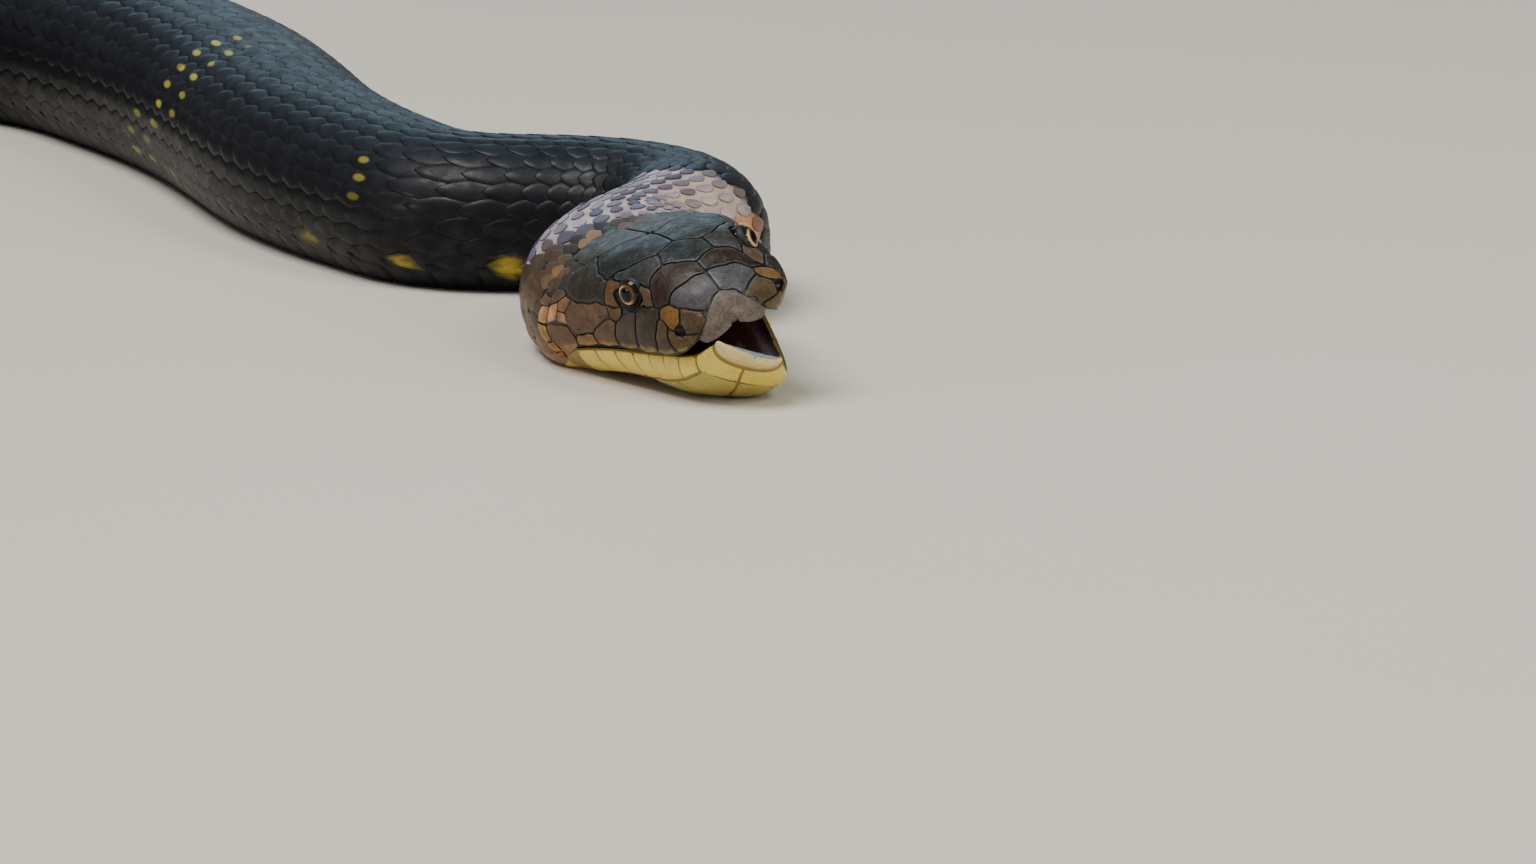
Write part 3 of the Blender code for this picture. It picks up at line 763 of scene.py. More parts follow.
def mouthRows(t, upper):
    # Lip to lip rows of the palate or the mouth floor at one station
    count = skin["mouthPoints"]
    f = (np.arange(count) + 0.5) / count
    across = (1 - (2 * f - 1) ** 4) ** 0.5
    # Two ridges of gum on each side
    ridge = sum(high * np.exp(-((np.abs(f - 0.5) - beside) / half) ** 2)
                for high, beside, half in skin["gums"])
    closing = 1 - ease((t - jaw["corner"] + 14) / 14)
    if upper:
        right, left = upperHead(np.array([t, t]), np.array([0.0, 180.0]))
        arch = skin["palateArch"] * ease((t - 0.5) / 8) * closing
        made = left + (right - left) * f[:, None]
        made[:, 2] += 0.15 * np.sin(np.pi * f) + arch * across - ridge * min(1.0, arch / 3)
    else:
        hollow = skin["floorHollow"] * ease((t + 2) / 8) * closing
        tube = skin["tube"] * np.exp(-((f - 0.5) / 0.07) ** 2) * between(t, 14, 60, 8)
        sink = hollow * across - (ridge + tube) * min(1.0, hollow / 2)
        lip = profile(head["lip"], t) - lipGap(t)
        made = jawPoint(np.full(count, t), jawHalf(t) * (0.985 - 1.97 * f), lip - sink)
    return fromHead(made)


def liningTint(t, count, isUpper):
    # The mouth's lining, with painted shade darker inside, and paler beside the lips; the lower gum's pale
    # tint carries a painted blue-white highlight
    inner = ease((t - 2) / 26)
    f = np.abs(2 * (np.arange(count) + 0.5) / count - 1)
    lining = blendTo(colours["mouth"], colours["mouthDeepShade"], inner * 0.95)
    pale = np.maximum(ease((f - 0.8) / 0.12), ease((1.5 - t) / 2.0))
    # The lower gum's tint carries a painted highlight
    return blendTo(lining, colours["upperGum" if isUpper else "lowerGumHighlight"], 0.9 * pale * (1 - inner))


def mouthRing(t, angles, isUpper):
    # A closed ring of the open mouth, skin outside and lining inside: points, tint and wetness
    s = np.full(len(angles), t - head["length"])
    depth, paintedShade = hollowed(s, angles)
    outside = place(s, angles, skinLift(s) - depth * isUpper, skin["floor"])
    outside[[0, -1]] = outer(s[[0, -1]], angles[[0, -1]])
    outside[:, 2] = np.maximum(outside[:, 2], skin["floor"])
    inside = mouthRows(t, isUpper)[::1 if isUpper else -1]
    tint = skinTint(s, angles)
    if isUpper:
        tint = blendTo(tint, colours["upperGum"], ease((2.6 - t) / 1.2))
        # painted shade in the hollows
        tint = blendTo(tint, colours["hollow"], paintedShade)
    wet = np.concatenate([0.25 + 0.1 * paintedShade * isUpper, np.ones(len(inside))])
    return np.vstack([outside, inside]), np.vstack([tint, liningTint(t, len(inside), isUpper)]), wet


def bodyRing(s, angles, isFirst):
    # A ring of the body's skin, on the lips where it starts at the mouth's corner
    at = np.full(len(angles), s)
    thin = min(1.0, profile(body["halfWide"], s) / 4)
    ring = place(at, angles, skinLift(at) * thin,
                 skin["floor"] if s < bodyLength - 60 else skin["tailFloor"])
    if isFirst:
        lips = [0, skin["upperPoints"]]
        ring[lips] = outer(at[lips], angles[lips])
    return ring, skinTint(at, angles), np.full(len(angles), skin["wet"])


def closedTube(rings, tip, tipTint, tipWet, atStart):
    # Points, faces, tints and wetness of a tube of rings that closes on one point at one end
    size, count = len(rings[0][0]), len(rings)
    points, tints, wets = zip(*rings, ([tip], [tipTint], [tipWet]))
    ends = fanFaces(0 if atStart else (count - 1) * size, size, count * size)
    faces = gridFaces(count, size, closed=True) + ([face[::-1] for face in ends] if atStart else ends)
    return np.vstack(points), faces, np.vstack(tints), np.concatenate(wets)


def buildSkin(look):
    corner = jaw["corner"] - head["length"]
    upper = np.linspace(0, 180, skin["upperPoints"] + 1)
    lower = np.linspace(180.001, 360, skin["lowerPoints"] + 1)
    # The two halves of the open mouth, and from its corner back one tube to the tail tip
    tubes = []
    for angles, first, isUpper in ((upper, 0.05, True), (lower, jaw["tip"], False)):
        share = np.linspace(0, 1, skin["mouthRings"]) ** skin["crowding"]
        rings = [mouthRing(t, angles, isUpper) for t in first + (jaw["corner"] - first) * share]
        tip = rings[0][0].mean(axis=0) + aheadAxis * 0.35
        tubes.append(closedTube(rings, tip, rings[0][1][:len(angles)].mean(axis=0), 0.3, True))
    fineTo, (short, long) = skin["ringsFineTo"], skin["ringSteps"]
    stations = [*np.arange(corner, fineTo, short), *np.arange(fineTo, bodyLength, long), bodyLength]
    angles = np.concatenate([upper, lower[1:-1]])
    rings = [bodyRing(s, angles, s == stations[0]) for s in stations]
    tubes.append(closedTube(rings, rings[-1][0].mean(axis=0), rings[-1][1][0], skin["wet"], False))
    points, faces, tints, wets = joined(tubes)
    item = meshPiece("skin", points, faces, look, tints, {"wet": wets})
    work = bmesh.new()
    work.from_mesh(item.data)
    bmesh.ops.remove_doubles(work, verts=work.verts, dist=4e-6)
    bmesh.ops.recalc_face_normals(work, faces=work.faces)
    work.to_mesh(item.data)
    work.free()
    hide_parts(*fleshNodes)


skinLook = makeLook("bareSkin", skinFinish, Coat_Roughness=0.12)
buildSkin(skinLook)
print("skin built")

# Shields of the head, drawn through the right side's corners: distance behind the snout, and angle
corners = {
    "m1": (2.4, 90), "m2": (8.0, 90), "m3": (13.1, 90), "m4": (25.5, 90), "m5": (40, 90),
    "m6": (66, 90), "r1": (1.5, 68), "r2": (1.2, 48), "r3": (1.1, 28), "r4": (1.8, 8),
    "r5": (2.6, 1.5), "i1": (8.8, 76), "i2": (9.2, 62), "i3": (9.8, 50), "i4": (9.2, 44),
    "i5": (6.5, 42), "p1": (18.2, 67), "p2": (17.8, 55), "p3": (16.8, 48), "p4": (15.5, 44),
    "p5": (13.1, 37), "p6": (11.7, 38), "f1": (22.6, 73), "s1": (25.3, 62), "s2": (29.5, 54),
    "s3": (35.0, 45.5), "s4": (29.4, 45), "s5": (20.3, 46.5), "q1": (40.0, 50), "q2": (45.1, 56),
    "q3": (48.5, 62), "q4": (45.5, 74), "n1": (5.4, 31), "n2": (4.6, 17), "n3": (6.8, 22),
    "n4": (9.2, 25), "n5": (11.6, 31), "l1": (8.8, 3.2), "l2": (16.2, 3.2), "l3": (24.6, 3.2),
    "l4": (32.8, 3.2), "l5": (41.3, 3.2), "l6": (50.4, 2.4), "l7": (58.2, -9.5), "l8": (53.4, -1.5),
    "b1": (6.2, 0.9), "b2": (13.2, 0.9), "b3": (21.4, 0.9), "b4": (29.6, 0.9), "b5": (38, 0.9),
    "b6": (46.6, 0.9), "k1": (9.4, 13),
    "k2": (13.6, 21), "k3": (22.3, 18), "k4": (32.2, 10), "k5": (41.2, 11), "k6": (49.5, 8),
    "k7": (60.0, 4.5), "e1": (20.8, 28), "e2": (15.4, 35), "e3": (18.8, 35), "e4": (19.7, 41),
    "e5": (26.6, 26), "e6": (28.0, 30), "e7": (28.6, 36), "e8": (27.6, 42), "o1": (33.6, 30),
    "o2": (32.6, 22), "o3": (34.4, 36), "w1": (29.8, 20), "t1": (38.3, 17), "t2": (47.7, 12),
    "t3": (50.2, 18), "t4": (51.7, 26), "t5": (48.5, 33), "t6": (53.7, 40), "t7": (55.8, 49),
    "t8": (51.5, 56), "v1": (60.9, 20),
    "v5": (63, 60), "v6": (66, 74),
}
shields = {
    "internasal": ("m1 m2 i1 i2 i3 i4 i5 r2 r1", tone(74, 70, 72)),
    "prefrontal": ("m2 m3 p1 p2 p3 p4 p5 p6 i4 i3 i2 i1", tone(48, 35, 26)),
    "frontal": ("m3 p1 f1 m4", tone(40, 42, 42)),
    "supraocular": ("p1 f1 s1 s2 s3 s4 s5 p3 p2", tone(54, 54, 50)),
    "parietal": ("m4 m5 q4 q3 q2 q1 s3 s2 s1 f1", tone(36, 37, 34)),
    "occipital": ("m5 m6 v6 v5 t8 q3 q4", tone(50, 44, 32)),
    "nasalFront": ("i5 n1 n2 r4 r3 r2", tone(78, 62, 40)),
    "nasalBack": ("i5 i4 p6 n5 n4 n3 n1", tone(112, 78, 34)),
    "preocular": ("p3 p4 p5 e2 e3 e4 s5", tone(80, 62, 42)),
    "postocularTop": ("s3 s4 e8 e7 e6 o1 o3", tone(92, 68, 42)),
    "postocularLow": ("e6 e5 w1 o2 o1", tone(82, 62, 32)),
    "labial1": ("r4 r5 b1 l1 k1 n4 n3 n2", tone(90, 70, 42)),
    "labial2": ("n4 k1 l1 b2 l2 k2 n5", tone(80, 62, 38)),
    "labial3": ("n5 k2 l2 b3 l3 k3 e1 e3 e2 p5 p6", tone(48, 40, 30)),
    "labial4": ("e1 k3 l3 b4 l4 k4 w1 e5", tone(62, 50, 34)),
    "labial5": ("w1 k4 l4 b5 l5 k5 t1 o2", tone(88, 68, 42)),
    "labial6": ("k5 l5 b6 l6 k6 t2", tone(128, 96, 54)),
    "labial7": ("t3 k6 l6 l8 l7 k7 v1", tone(92, 68, 42)),
    "temporalLow": ("o1 o2 t1 k5 t2 k6 t3 t4 t5", tone(90, 66, 46)),
    "temporalTop": ("s3 o3 o1 t5 t6 t7 t8 q3 q2 q1", tone(46, 41, 34)),
}
jawShields = {
    "seams": [5.5, 11.5, 17.5, 23.5, 30, 37, 45, 53],
    "band": (1.5, 36),
    "first": [(0.8, 1.5), (5.5, 1.5), (5.5, 36), (4.2, 58), (3.8, 89.4), (0.8, 89.4)],
    "chinSeams": [4.0, 15, 26],
    "chinBand": (38, 89.4),
    "lean": 2.2,                # seams slope back towards the lip
    "uneven": 0.04,
    "mottle": (260.0, 4.0),
    "grain": (2600.0, 4.0),
    "mottleShare": 0.6,
    "shade": (0.82, 1.1),
    "rough": (0.24, 0.42),
    "coatFrom": 0.4,
    "coat": (0.2, 0.5),
}
# Long scales behind the right corner of the mouth, as outlines, each with its colour
cornerScales = [
    ([(50.2, 18), (51.7, 26), (55.0, 27.5), (55.8, 21.5)], tone(150, 106, 74)),
    ([(51.7, 26), (48.5, 33), (52.2, 36.5), (55.6, 33), (55.0, 27.5)], tone(112, 80, 58)),
    ([(55.8, 21.5), (55.0, 27.5), (55.6, 33), (59.5, 31), (60.3, 25.5), (60.9, 20)],
     tone(184, 134, 90)),
    ([(52.2, 36.5), (53.7, 40), (58, 41), (59.6, 36), (59.5, 31), (55.6, 33)], tone(84, 66, 52)),
    ([(60.9, 20), (60.3, 25.5), (59.5, 31), (63.8, 31), (66.0, 25.5), (66.4, 19.5)],
     tone(178, 132, 84)),
    ([(59.5, 31), (59.6, 36), (64.0, 38.5), (67.0, 32), (63.8, 31)], tone(102, 78, 58)),
    ([(61.4, 19), (60.7, 8.5), (63.6, 6), (66.6, 11), (67.0, 19)], tone(160, 114, 58)),
    ([(60.4, 7.5), (59.7, -1.5), (62.2, -3), (64.6, 5)], tone(164, 112, 44)),
    ([(59.5, -2.5), (58.9, -12), (60.6, -13), (62.8, -4)], tone(154, 104, 40)),
]
shieldForm = {
    "edgeStep": 0.75,
    "gap": 0.19,                # half the width of a seam, mm
    "rise": 0.42,
    "under": -0.6,
    "edge": [(0, 0.5), (0.12, 0.78), (0.34, 0.94), (0.75, 1.0)],    # mm inside, share of the rise
    "dome": 0.12,
    "cornerRiseGap": (0.3, 0.1),    # rise and gap of the long scales behind the mouth's corner
    "wholeTo": 44,              # no small scales on top of the head in front of this, mm
    "gape": (65, 170, 212),     # and none across the open mouth: back to this, between these angles
    "wander": 0.22,             # how far seams bend from straight, mm
    "lipEdge": 1.5,             # the left side's shields keep this angle from the open lip
    "clearOf": (1.0, 1.22),     # outlines are put on the nostril's and the eye's edge inside this reach
    "uneven": 0.06,             # spread of brightness from shield to shield
    "lipShare": 0.75,           # strength of the lighter edge beside the lips
    "mottle": (330.0, 5.0),     # scale and detail of a pattern
    "grain": (1500.0, 6.0),
    "fine": (7000.0, 2.0),
    "mottleShare": 0.5,         # of the shade, the rest is grain
    "shade": (0.55, 1.45),      # range of brightness
    "rough": (0.3, 0.5),
    "coatFrom": 0.4,            # mottle at which the wet coat starts
    "coat": (0.05, 0.3),
    # strength of the painted blue sheen, and of the painted highlight on crackle lines
    "paintedSheen": 0.22,
    "crackleHighlight": 0.24,
    "crackleScale": 330.0,
}


def bendSeam(t, angle):
    # Seams wander a little, by place, so that neighbours still match
    w = shieldForm["wander"]
    dt = w * (np.sin(0.61 * t + 0.17 * angle) + 0.6 * np.sin(1.3 * t - 0.29 * angle))
    da = 3.2 * w * (np.sin(0.53 * t - 0.21 * angle + 1) + 0.6 * np.sin(1.1 * t + 0.33 * angle))
    mid = ease(np.abs(angle - 90) / 6) * ease(angle / 8) * ease((180 - angle) / 8)
    return t + dt * np.where(np.abs(angle - 90) < 89, 1, 0) * ease(angle / 5), angle + da * mid


def outlineOf(path):
    # Closed outline through named corners, cut into short steps that round each corner
    ends = np.array(path, float)
    made = []
    for first, second in zip(ends, np.roll(ends, -1, axis=0)):
        s, angle = (np.array([first, second]) - (head["length"], 0)).T
        span = outer(s, angle)
        pieces = max(2, int(round(np.linalg.norm(span[1] - span[0]) / shieldForm["edgeStep"])))
        share = (np.arange(pieces) + 0.5) / pieces
        made.append(first + (second - first) * share[:, None])
    return np.vstack(made)


def unit(vectors):
    return vectors / np.maximum(np.linalg.norm(vectors, axis=1, keepdims=True), 1e-9)


def shieldMesh(outline, rise=shieldForm["rise"], gap=shieldForm["gap"]):
    # Domed closed plate over an outline: points, faces, each point's distance inside, and its place
    s, angle = outline[:, 0] - head["length"], outline[:, 1]
    here = outer(s, angle)
    normal = unit(place(s, angle, 1.0) - here)
    inward = np.cross(normal, unit(np.roll(here, -1, axis=0) - np.roll(here, 1, axis=0)))
    middle = outline.mean(axis=0)
    centre = outer(middle[0] - head["length"], middle[1])
    if np.mean(np.sum(inward * (centre - here), axis=1)) < 0:
        inward = -inward
    reach = np.linalg.norm(here - centre, axis=1)
    half = max(0.4, float(reach.min()))
    size = min(1.0, half / 3.0)
    rings, depth, params = [], [], []
    edge = [(0, shieldForm["under"])] + [(inset, share * rise) for inset, share in shieldForm["edge"]]
    for inset, lift in edge:
        rings.append(here + inward * (gap + inset * size) + normal * lift)
        depth.append(np.full(len(here), inset * size))
        params.append(outline)
    widest = max(0.35, 1 - 1.5 * (gap + edge[-1][0] * size) / half)
    for share in (widest, widest * 0.66, widest * 0.33, 0.0):
        at = middle + ((outline if share else outline[:1]) - middle) * share
        lift = rise + shieldForm["dome"] * size * (1 - share)
        rings.append(place(at[:, 0] - head["length"], at[:, 1], lift))
        depth.append((1 - share) * reach if share else [half])
        params.append(at)
    points = np.vstack(rings)
    points[:, 2] = np.maximum(points[:, 2], 0.0)
    count, rows = len(outline), len(rings) - 1
    faces = gridFaces(rows, count, closed=True) + fanFaces((rows - 1) * count, count, rows * count)
    faces.append(tuple(range(count))[::-1])
    return points, faces, np.concatenate(depth), np.vstack(params)


def gather(name, made, look):
    # Several plates become one piece
    points, faces, tints, edges, ties = joined(made)
    meshPiece(name, points, faces, look, tints, {"edge": edges}, ties)


def grained(wire, form):
    # What shields and scales share: two patterns, the shade they make, and how the surface shines
    mottle = wire.noise(*form["mottle"])
    grain = wire.noise(*form["grain"])
    share = form["mottleShare"]
    shade = (mottle * share + grain * (1 - share)).ramp(0.3, 0.7, *form["shade"])
    shine = {
        "Roughness": grain.ramp(0.3, 0.7, *form["rough"]),
        "Coat Weight": mottle.ramp(form["coatFrom"], 0.7, *form["coat"]),
    }
    return mottle, grain, shade, shine


def shieldFinish(wire):
    edge, up = wire.attribute("edge", 2), wire.facing()
    mottle, grain, shade, shine = grained(wire, shieldForm)
    colour = shade.shading(wire.attribute("tint"))
    # Painted blue sheen where a shield faces up, and a painted highlight along its rim
    paintedSheen = up.ramp(0.3, 0.98) * mottle.ramp(0.4, 0.68) * shieldForm["paintedSheen"]
    colour = paintedSheen.mix(colour, colours["paintedShieldSheen"])
    rim = edge.ramp(0.1, 0.3) * (1 - edge.ramp(0.35, 0.8)) * up.ramp(0.1, 0.8, 0.08, 0.4)
    colour = (rim * grain.ramp(0.35, 0.6, 0.3, 1.0)).mix(colour, colours["paintedRimHighlight"])
    # A painted highlight along fine crackle lines where the shield faces up
    crackleHighlight = wire.node("ShaderNodeTexVoronoi", {"feature": "DISTANCE_TO_EDGE"},
                        {"Vector": wire.node("ShaderNodeTexCoord", out=3),
                         "Scale": shieldForm["crackleScale"]})
    line = (1 - crackleHighlight.ramp(0.0, 0.05)) * up.ramp(0.35, 0.95) * mottle.ramp(0.45, 0.6)
    colour = (line * shieldForm["crackleHighlight"]).mix(colour, colours["crackleHighlight"])
    return {
        "Base Color": edge.ramp(0.0, 0.2, 0.88, 0.0).mix(colour, colours["seam"]),
        "Roughness": shine["Roughness"] + mottle * 0.06,
        "Coat Weight": shine["Coat Weight"],
        "Normal": wire.bump(mottle * 0.4 + grain * 0.4 + wire.noise(*shieldForm["fine"]) * 0.2, 0.3),
    }


# Round gaps between the shields, right and left: middle and half size, along the head and round it
nostril = [((head["nostrilAt"], angle), head["nostrilSize"]) for angle in head["nostrilAngles"]]
eyeOpening = [((24.4, 36.8), (6.3, 8.0)), ((20.6, 137.0), (4.9, 8.6))]


def clearOf(line, opening, reach):
    # An outline's points near a round gap are put on its edge
    at, size = np.array(opening)
    offset = (line - at) / size
    away = np.maximum(np.linalg.norm(offset, axis=1, keepdims=True), 1e-6)
    wanted = np.where(away < reach, 1.0, np.minimum(away, 1 + (away - reach) * 3))
    return at + offset * wanted / away * size


def bakePlate(t, angle, long=80, first=0.05, span=0.9):
    # A shield's points on the bake map
    return np.stack([0.05 + t / long, first + span * angle / 360], -1)


def buildShields(look):
    made = []
    for name, (path, tint) in shields.items():
        right = [corners[key] for key in path.split()]
        mirrored = [leftCorner(t, max(angle, shieldForm["lipEdge"])) for t, angle in right]
        whole = name == "frontal"
        for side, plan in enumerate([right + mirrored[2:0:-1]] if whole else [right, mirrored]):
            line = np.stack(bendSeam(*outlineOf(plan).T), -1)
            for opening, reach in zip((nostril, eyeOpening), shieldForm["clearOf"]):
                line = clearOf(line, opening[side], reach)
            points, faces, depth, params = shieldMesh(line)
            t, angle = params.T
            # Lighter beside the lips
            near = (1 - ease((np.minimum(angle, 180 - angle) - 1.6) / 4.5)) * (t > 5)
            hue = tint * (1 + shieldForm["uneven"] * chance.standard_normal())
            hue = blendTo(hue, colours["besideLip"], shieldForm["lipShare"] * near)
            made.append((points, faces, hue, depth, bakePlate(t, angle)))
    for path, tint in cornerScales:
        points, faces, depth, params = shieldMesh(outlineOf(path), *shieldForm["cornerRiseGap"])
        t, angle = params.T
        streaky = 0.62 + 0.7 * ripple(t * 0.9, angle * 0.5, 5.0)
        made.append((points, faces, tint * streaky[:, None], depth * 1.6,
                     bakePlate(t, angle + 30, 90, 0.55, 0.4)))
    gather("head_shields", made, look)


shieldLook = makeLook("headShield", shieldFinish, Coat_Roughness=0.2, Coat_IOR=1.3, IOR=1.28)
buildShields(shieldLook)
print("head shields built")


def jawFinish(wire):
    mottle, grain, shade, shine = grained(wire, jawShields)
    patch = mottle.ramp(0.5, 0.72) * 0.35
    seam = wire.attribute("edge", 2).ramp(0.0, 0.22, 0.4, 0.0)
    colour = patch.mix(shade.shading(wire.attribute("tint")), colours["jawMottle"])
    return {
        "Base Color": seam.mix(colour, colours["jawSeam"]),
        "Normal": wire.bump(mottle * 0.5 + grain * 0.5, 0.18),
        **shine,
    }


def buildJawShields(look):
    plans = [(jawShields["first"], colours["lowerLabial"])]
    for seams, (top, bottom), tint in ((jawShields["seams"], jawShields["band"], colours["lowerLabial"]),
                                       (jawShields["chinSeams"], jawShields["chinBand"], colours["chin"])):
        for start, end in zip(seams, seams[1:]):
            lean = jawShields["lean"] * ease((start - 8) / 20)
            first = start if start == seams[0] else start - lean
            plans.append(([(start, top), (end, top), (end - lean, bottom), (first, bottom)], tint))
    made = []
    for plan, tint in plans:
        for right in (True, False):
            line = outlineOf([(t, 360 - a if right else 180 + a) for t, a in plan])
            points, faces, depth, params = shieldMesh(line)
            hue = tint * (1 + jawShields["uneven"] * chance.standard_normal())
            made.append((points, faces, np.broadcast_to(hue, points.shape), depth,
                         bakePlate(params[:, 0] + 5, params[:, 1], 90)))
    gather("jaw_shields", made, look)


# Caps at the front of the snout and the chin
caps = {
    # Rows from the rear seam to the lip: place along, height, share of the hanging lobes
    "rows": [(0.0, -0.5, 0), (0.0, 0.2, 0), (0.1, 0.34, 0.2), (0.25, 0.4, 0.6), (0.42, 0.42, 0.92),
             (0.6, 0.42, 1.0), (0.8, 0.42, 0.92), (1.0, 0.42, 0.7)],
    # Rows over the front: size of the ring, and how far ahead it stands
    "front": [(0.75, 0.3), (0.5, 0.42), (0.28, 0.48)],
    "points": 61,
    "archLobe": {"rostral_shield": (0.5, 2.1), "mental_shield": (0.0, 0.0)},
}


def buildSnoutCap(name, look, rear, base, ends, tint):
    # A shield that wraps the front of the snout or the chin, from a seam behind it down to the lip
    arch, lobe = caps["archLobe"][name]
    angles = np.linspace(rear[0, 1], rear[-1, 1], caps["points"])
    start = np.interp(angles, rear[:, 1], rear[:, 0])
    share = (angles - angles[0]) / (angles[-1] - angles[0])
    bow = (arch * np.sin(np.pi * share) ** 2)[:, None]
    # Lobes hang at both ends of the lip
    hang = lobe * np.exp(-(np.minimum(share, 1 - share) / 0.13) ** 2)[:, None] * topAxis
    rows, depth, flat = [], [], []
    for along, lift, low in caps["rows"]:
        s = start * (1 - along) + (ends + 0.2 * (1 - along)) * along - head["length"]
        rows.append(place(s, angles, lift) - hang * low)
        flat.append(place(s + 0.3, angles, min(lift, 0) - 0.5) - 0.75 * hang * low)
        depth.append(np.full(len(angles), 0.02 + 1.6 * along if lift > 0 else 0.0))
    last, lastFlat = rows[-1], flat[-1]
    for along, ahead in caps["front"]:
        centre = base + topAxis * bow * (1 - along)
        rows.append(centre + (last - centre) * along + aheadAxis * ahead)
        flat.append(centre + (lastFlat - centre) * along - aheadAxis * 0.5)
        depth.append(np.full(len(angles), 1.9 if along > 0.3 else 0.3))
    wide, high = len(angles), len(rows)
    points = np.vstack(rows + flat)
    points[:, 2] = np.maximum(points[:, 2], 0.0)
    count = wide * high
    faces = gridFaces(high, wide) + moved(gridFaces(high, wide, turned=True), count)
    # The rim joins the outer and the inner sheet
    for r in range(high - 1):
        a, b = r * wide, (r + 1) * wide
        faces.append((a, b, count + b, count + a))
        faces.append((a + wide - 1, count + a + wide - 1, count + b + wide - 1, b + wide - 1))
    end = (high - 1) * wide
    for k in range(wide - 1):
        faces.append((end + k, end + k + 1, count + end + k + 1, count + end + k))
        faces.append((k, count + k, count + k + 1, k + 1))
    tie = np.stack([0.05 + np.repeat(np.linspace(0, 0.06, high), wide),
                    0.55 + 0.4 * np.tile(share, high)], -1)
    meshPiece(name, points, faces, look, tint,
              {"edge": np.concatenate(depth * 2)}, np.vstack([tie, tie]))


jawLook = makeLook("jawShield", jawFinish, Coat_Roughness=0.15)
buildJawShields(jawLook)


def buildCaps():
    rear = [corners[key] for key in ("r5", "r4", "r3", "r2", "r1", "m1")]
    rear = np.array(rear + [(t, 180 - a) for t, a in rear[-2::-1]])
    lip = profile(head["lip"], 0.0)
    buildSnoutCap("rostral_shield", shieldLook, rear, fromHead([[-0.15, 0.3, lip + 0.35]])[0], 0.06,
                  colours["rostral"])
    tip = fromHead(jawPoint(np.array([jaw["tip"]]), np.zeros(1), np.array([lip - 0.6])))[0]
    buildSnoutCap("mental_shield", jawLook, np.array([(0.5, 181.5), (0.5, 358.5)]), tip,
                  jaw["tip"] + 0.02, colours["mental"])


buildCaps()
print("jaw shields built")

# Scales of the body
scales = {
    "step": [(-20, 4.2), (0, 5.0), (14, 6.2), (60, 7.0), (150, 8.0), (400, 9.6), (900, 10.4),
             (1800, 10.6), (2300, 10.0), (2609, 9.2), (3000, 7.4), (3250, 5.2), (3340, 4.0)],
    "rows": [(-24, 5, 28), (5, 450, 19), (450, 900, 17), (900, 2450, 15), (2450, 2720, 12),
             (2720, 2900, 10), (2900, 3060, 8), (3060, 3180, 6), (3180, 3322, 4)],
    "dorsal": (0.165, 0.835),   # the share of the girth that the small scales cover
    "halfLong": 0.72,           # of a step
    "halfWide": 0.68,           # of a row
    "corners": 14,
    "power": 1.55,              # a scale's outline, between a lozenge at 1 and a round at 2
    "taper": 0.16,
    "rings": [(0.92, -0.50), (1.0, -0.14), (0.94, -0.03), (0.6, 0.0)],  # size, height
    "tilt": 0.13,
    "dome": 0.20,
    "depth": 0.10,
    "bellyColumns": 21,
    # A belly plate's section: place along, in steps, and height
    "bellyLoop": [(-0.62, -0.42), (-0.2, -0.2), (0.25, -0.08), (0.52, -0.02), (0.6, -0.12), (0.5, -0.5)],
    "pieces": {"neck": (-100, 300), "fore": (300, 1000), "mid": (1000, 1750), "rear": (1750, 2450),
               "tail": (2450, 5000)},
    "neckShrink": 0.34,         # scales on the stretched neck are this much shorter and narrower,
    "neckUneven": (0.12, 0.16),     # and up to this much more
    # Throat scales: places along and across, as start, end and step, and half lengths
    "throat": ((-46, -9, 4.4), (-0.25, 0.251, 0.027), (3.0, 0.0175)),
    "mottle": (240.0, 4.0),
    "grain": (2200.0, 4.0, (1.0, 1.0, 1.6)),
    "mottleShare": 0.5,
    "shade": (0.7, 1.25),
    "rough": (0.38, 0.56),
    "coatFrom": 0.35,
    "coat": (0.0, 0.2),
}


def bandLines():
    # Every line of spots down the body, fading towards the tail: distance, strength, half length
    made = list(bands["lines"])
    s = bands["from"]
    while s < bodyLength - 60:
        fade = 0.55 - 0.35 * ease((s - 600) / 1400)
        made += [(s, fade, bands["halfLong"]), (s + bands["gap"], fade * 0.8, bands["halfLong"])]
        s += bands["every"]
    return np.array(made)


lineTable = bandLines()


def alongSteps(low, high):
    # Distances where whole scale steps fall
    s = np.arange(-60, bodyLength, 0.5)
    n = np.concatenate([[0], np.cumsum(0.5 / profile(scales["step"], s))])[:-1]
    whole = np.arange(math.ceil(np.interp(low, s, n) * 2), math.floor(np.interp(high, s, n) * 2) + 1)
    return np.interp(whole / 2, n, s), whole


def insideOutline(t, angle, path):
    # Even-odd test of points in a closed outline
    inside = np.zeros(t.shape, bool)
    for (t1, a1), (t2, a2) in zip(path, path[1:] + path[:1]):
        crossing = (a1 > angle) != (a2 > angle)
        at = t1 + (angle - a1) / ((a2 - a1) or 1e-9) * (t2 - t1)
        inside ^= crossing & (t < at)
    return inside


def coveredByShields(s, angle):
    # Where shields cover the head, and small scales would lie under them
    angle = fullTurn(angle)
    t = s + head["length"]
    covered = (t < shieldForm["wholeTo"]) & (angle < 180)
    gapeTo, low, high = shieldForm["gape"]
    covered |= (t < gapeTo) & (angle > low) & (angle < high)
    rights = [[corners[key] for key in path.split()] for path, tint in shields.values()]
    for right in rights:
        covered |= insideOutline(t, angle, [leftCorner(*corner) for corner in right])
    for right in rights + [path for path, tint in cornerScales]:
        covered |= insideOutline(t, np.where(angle > 270, angle - 360, angle), right)
    beside = np.minimum(360 - angle, angle - 180)               # degrees down from either lip
    return covered | (t < jawShields["seams"][-1]) & (beside >= 0) & (beside < jawShields["band"][1])


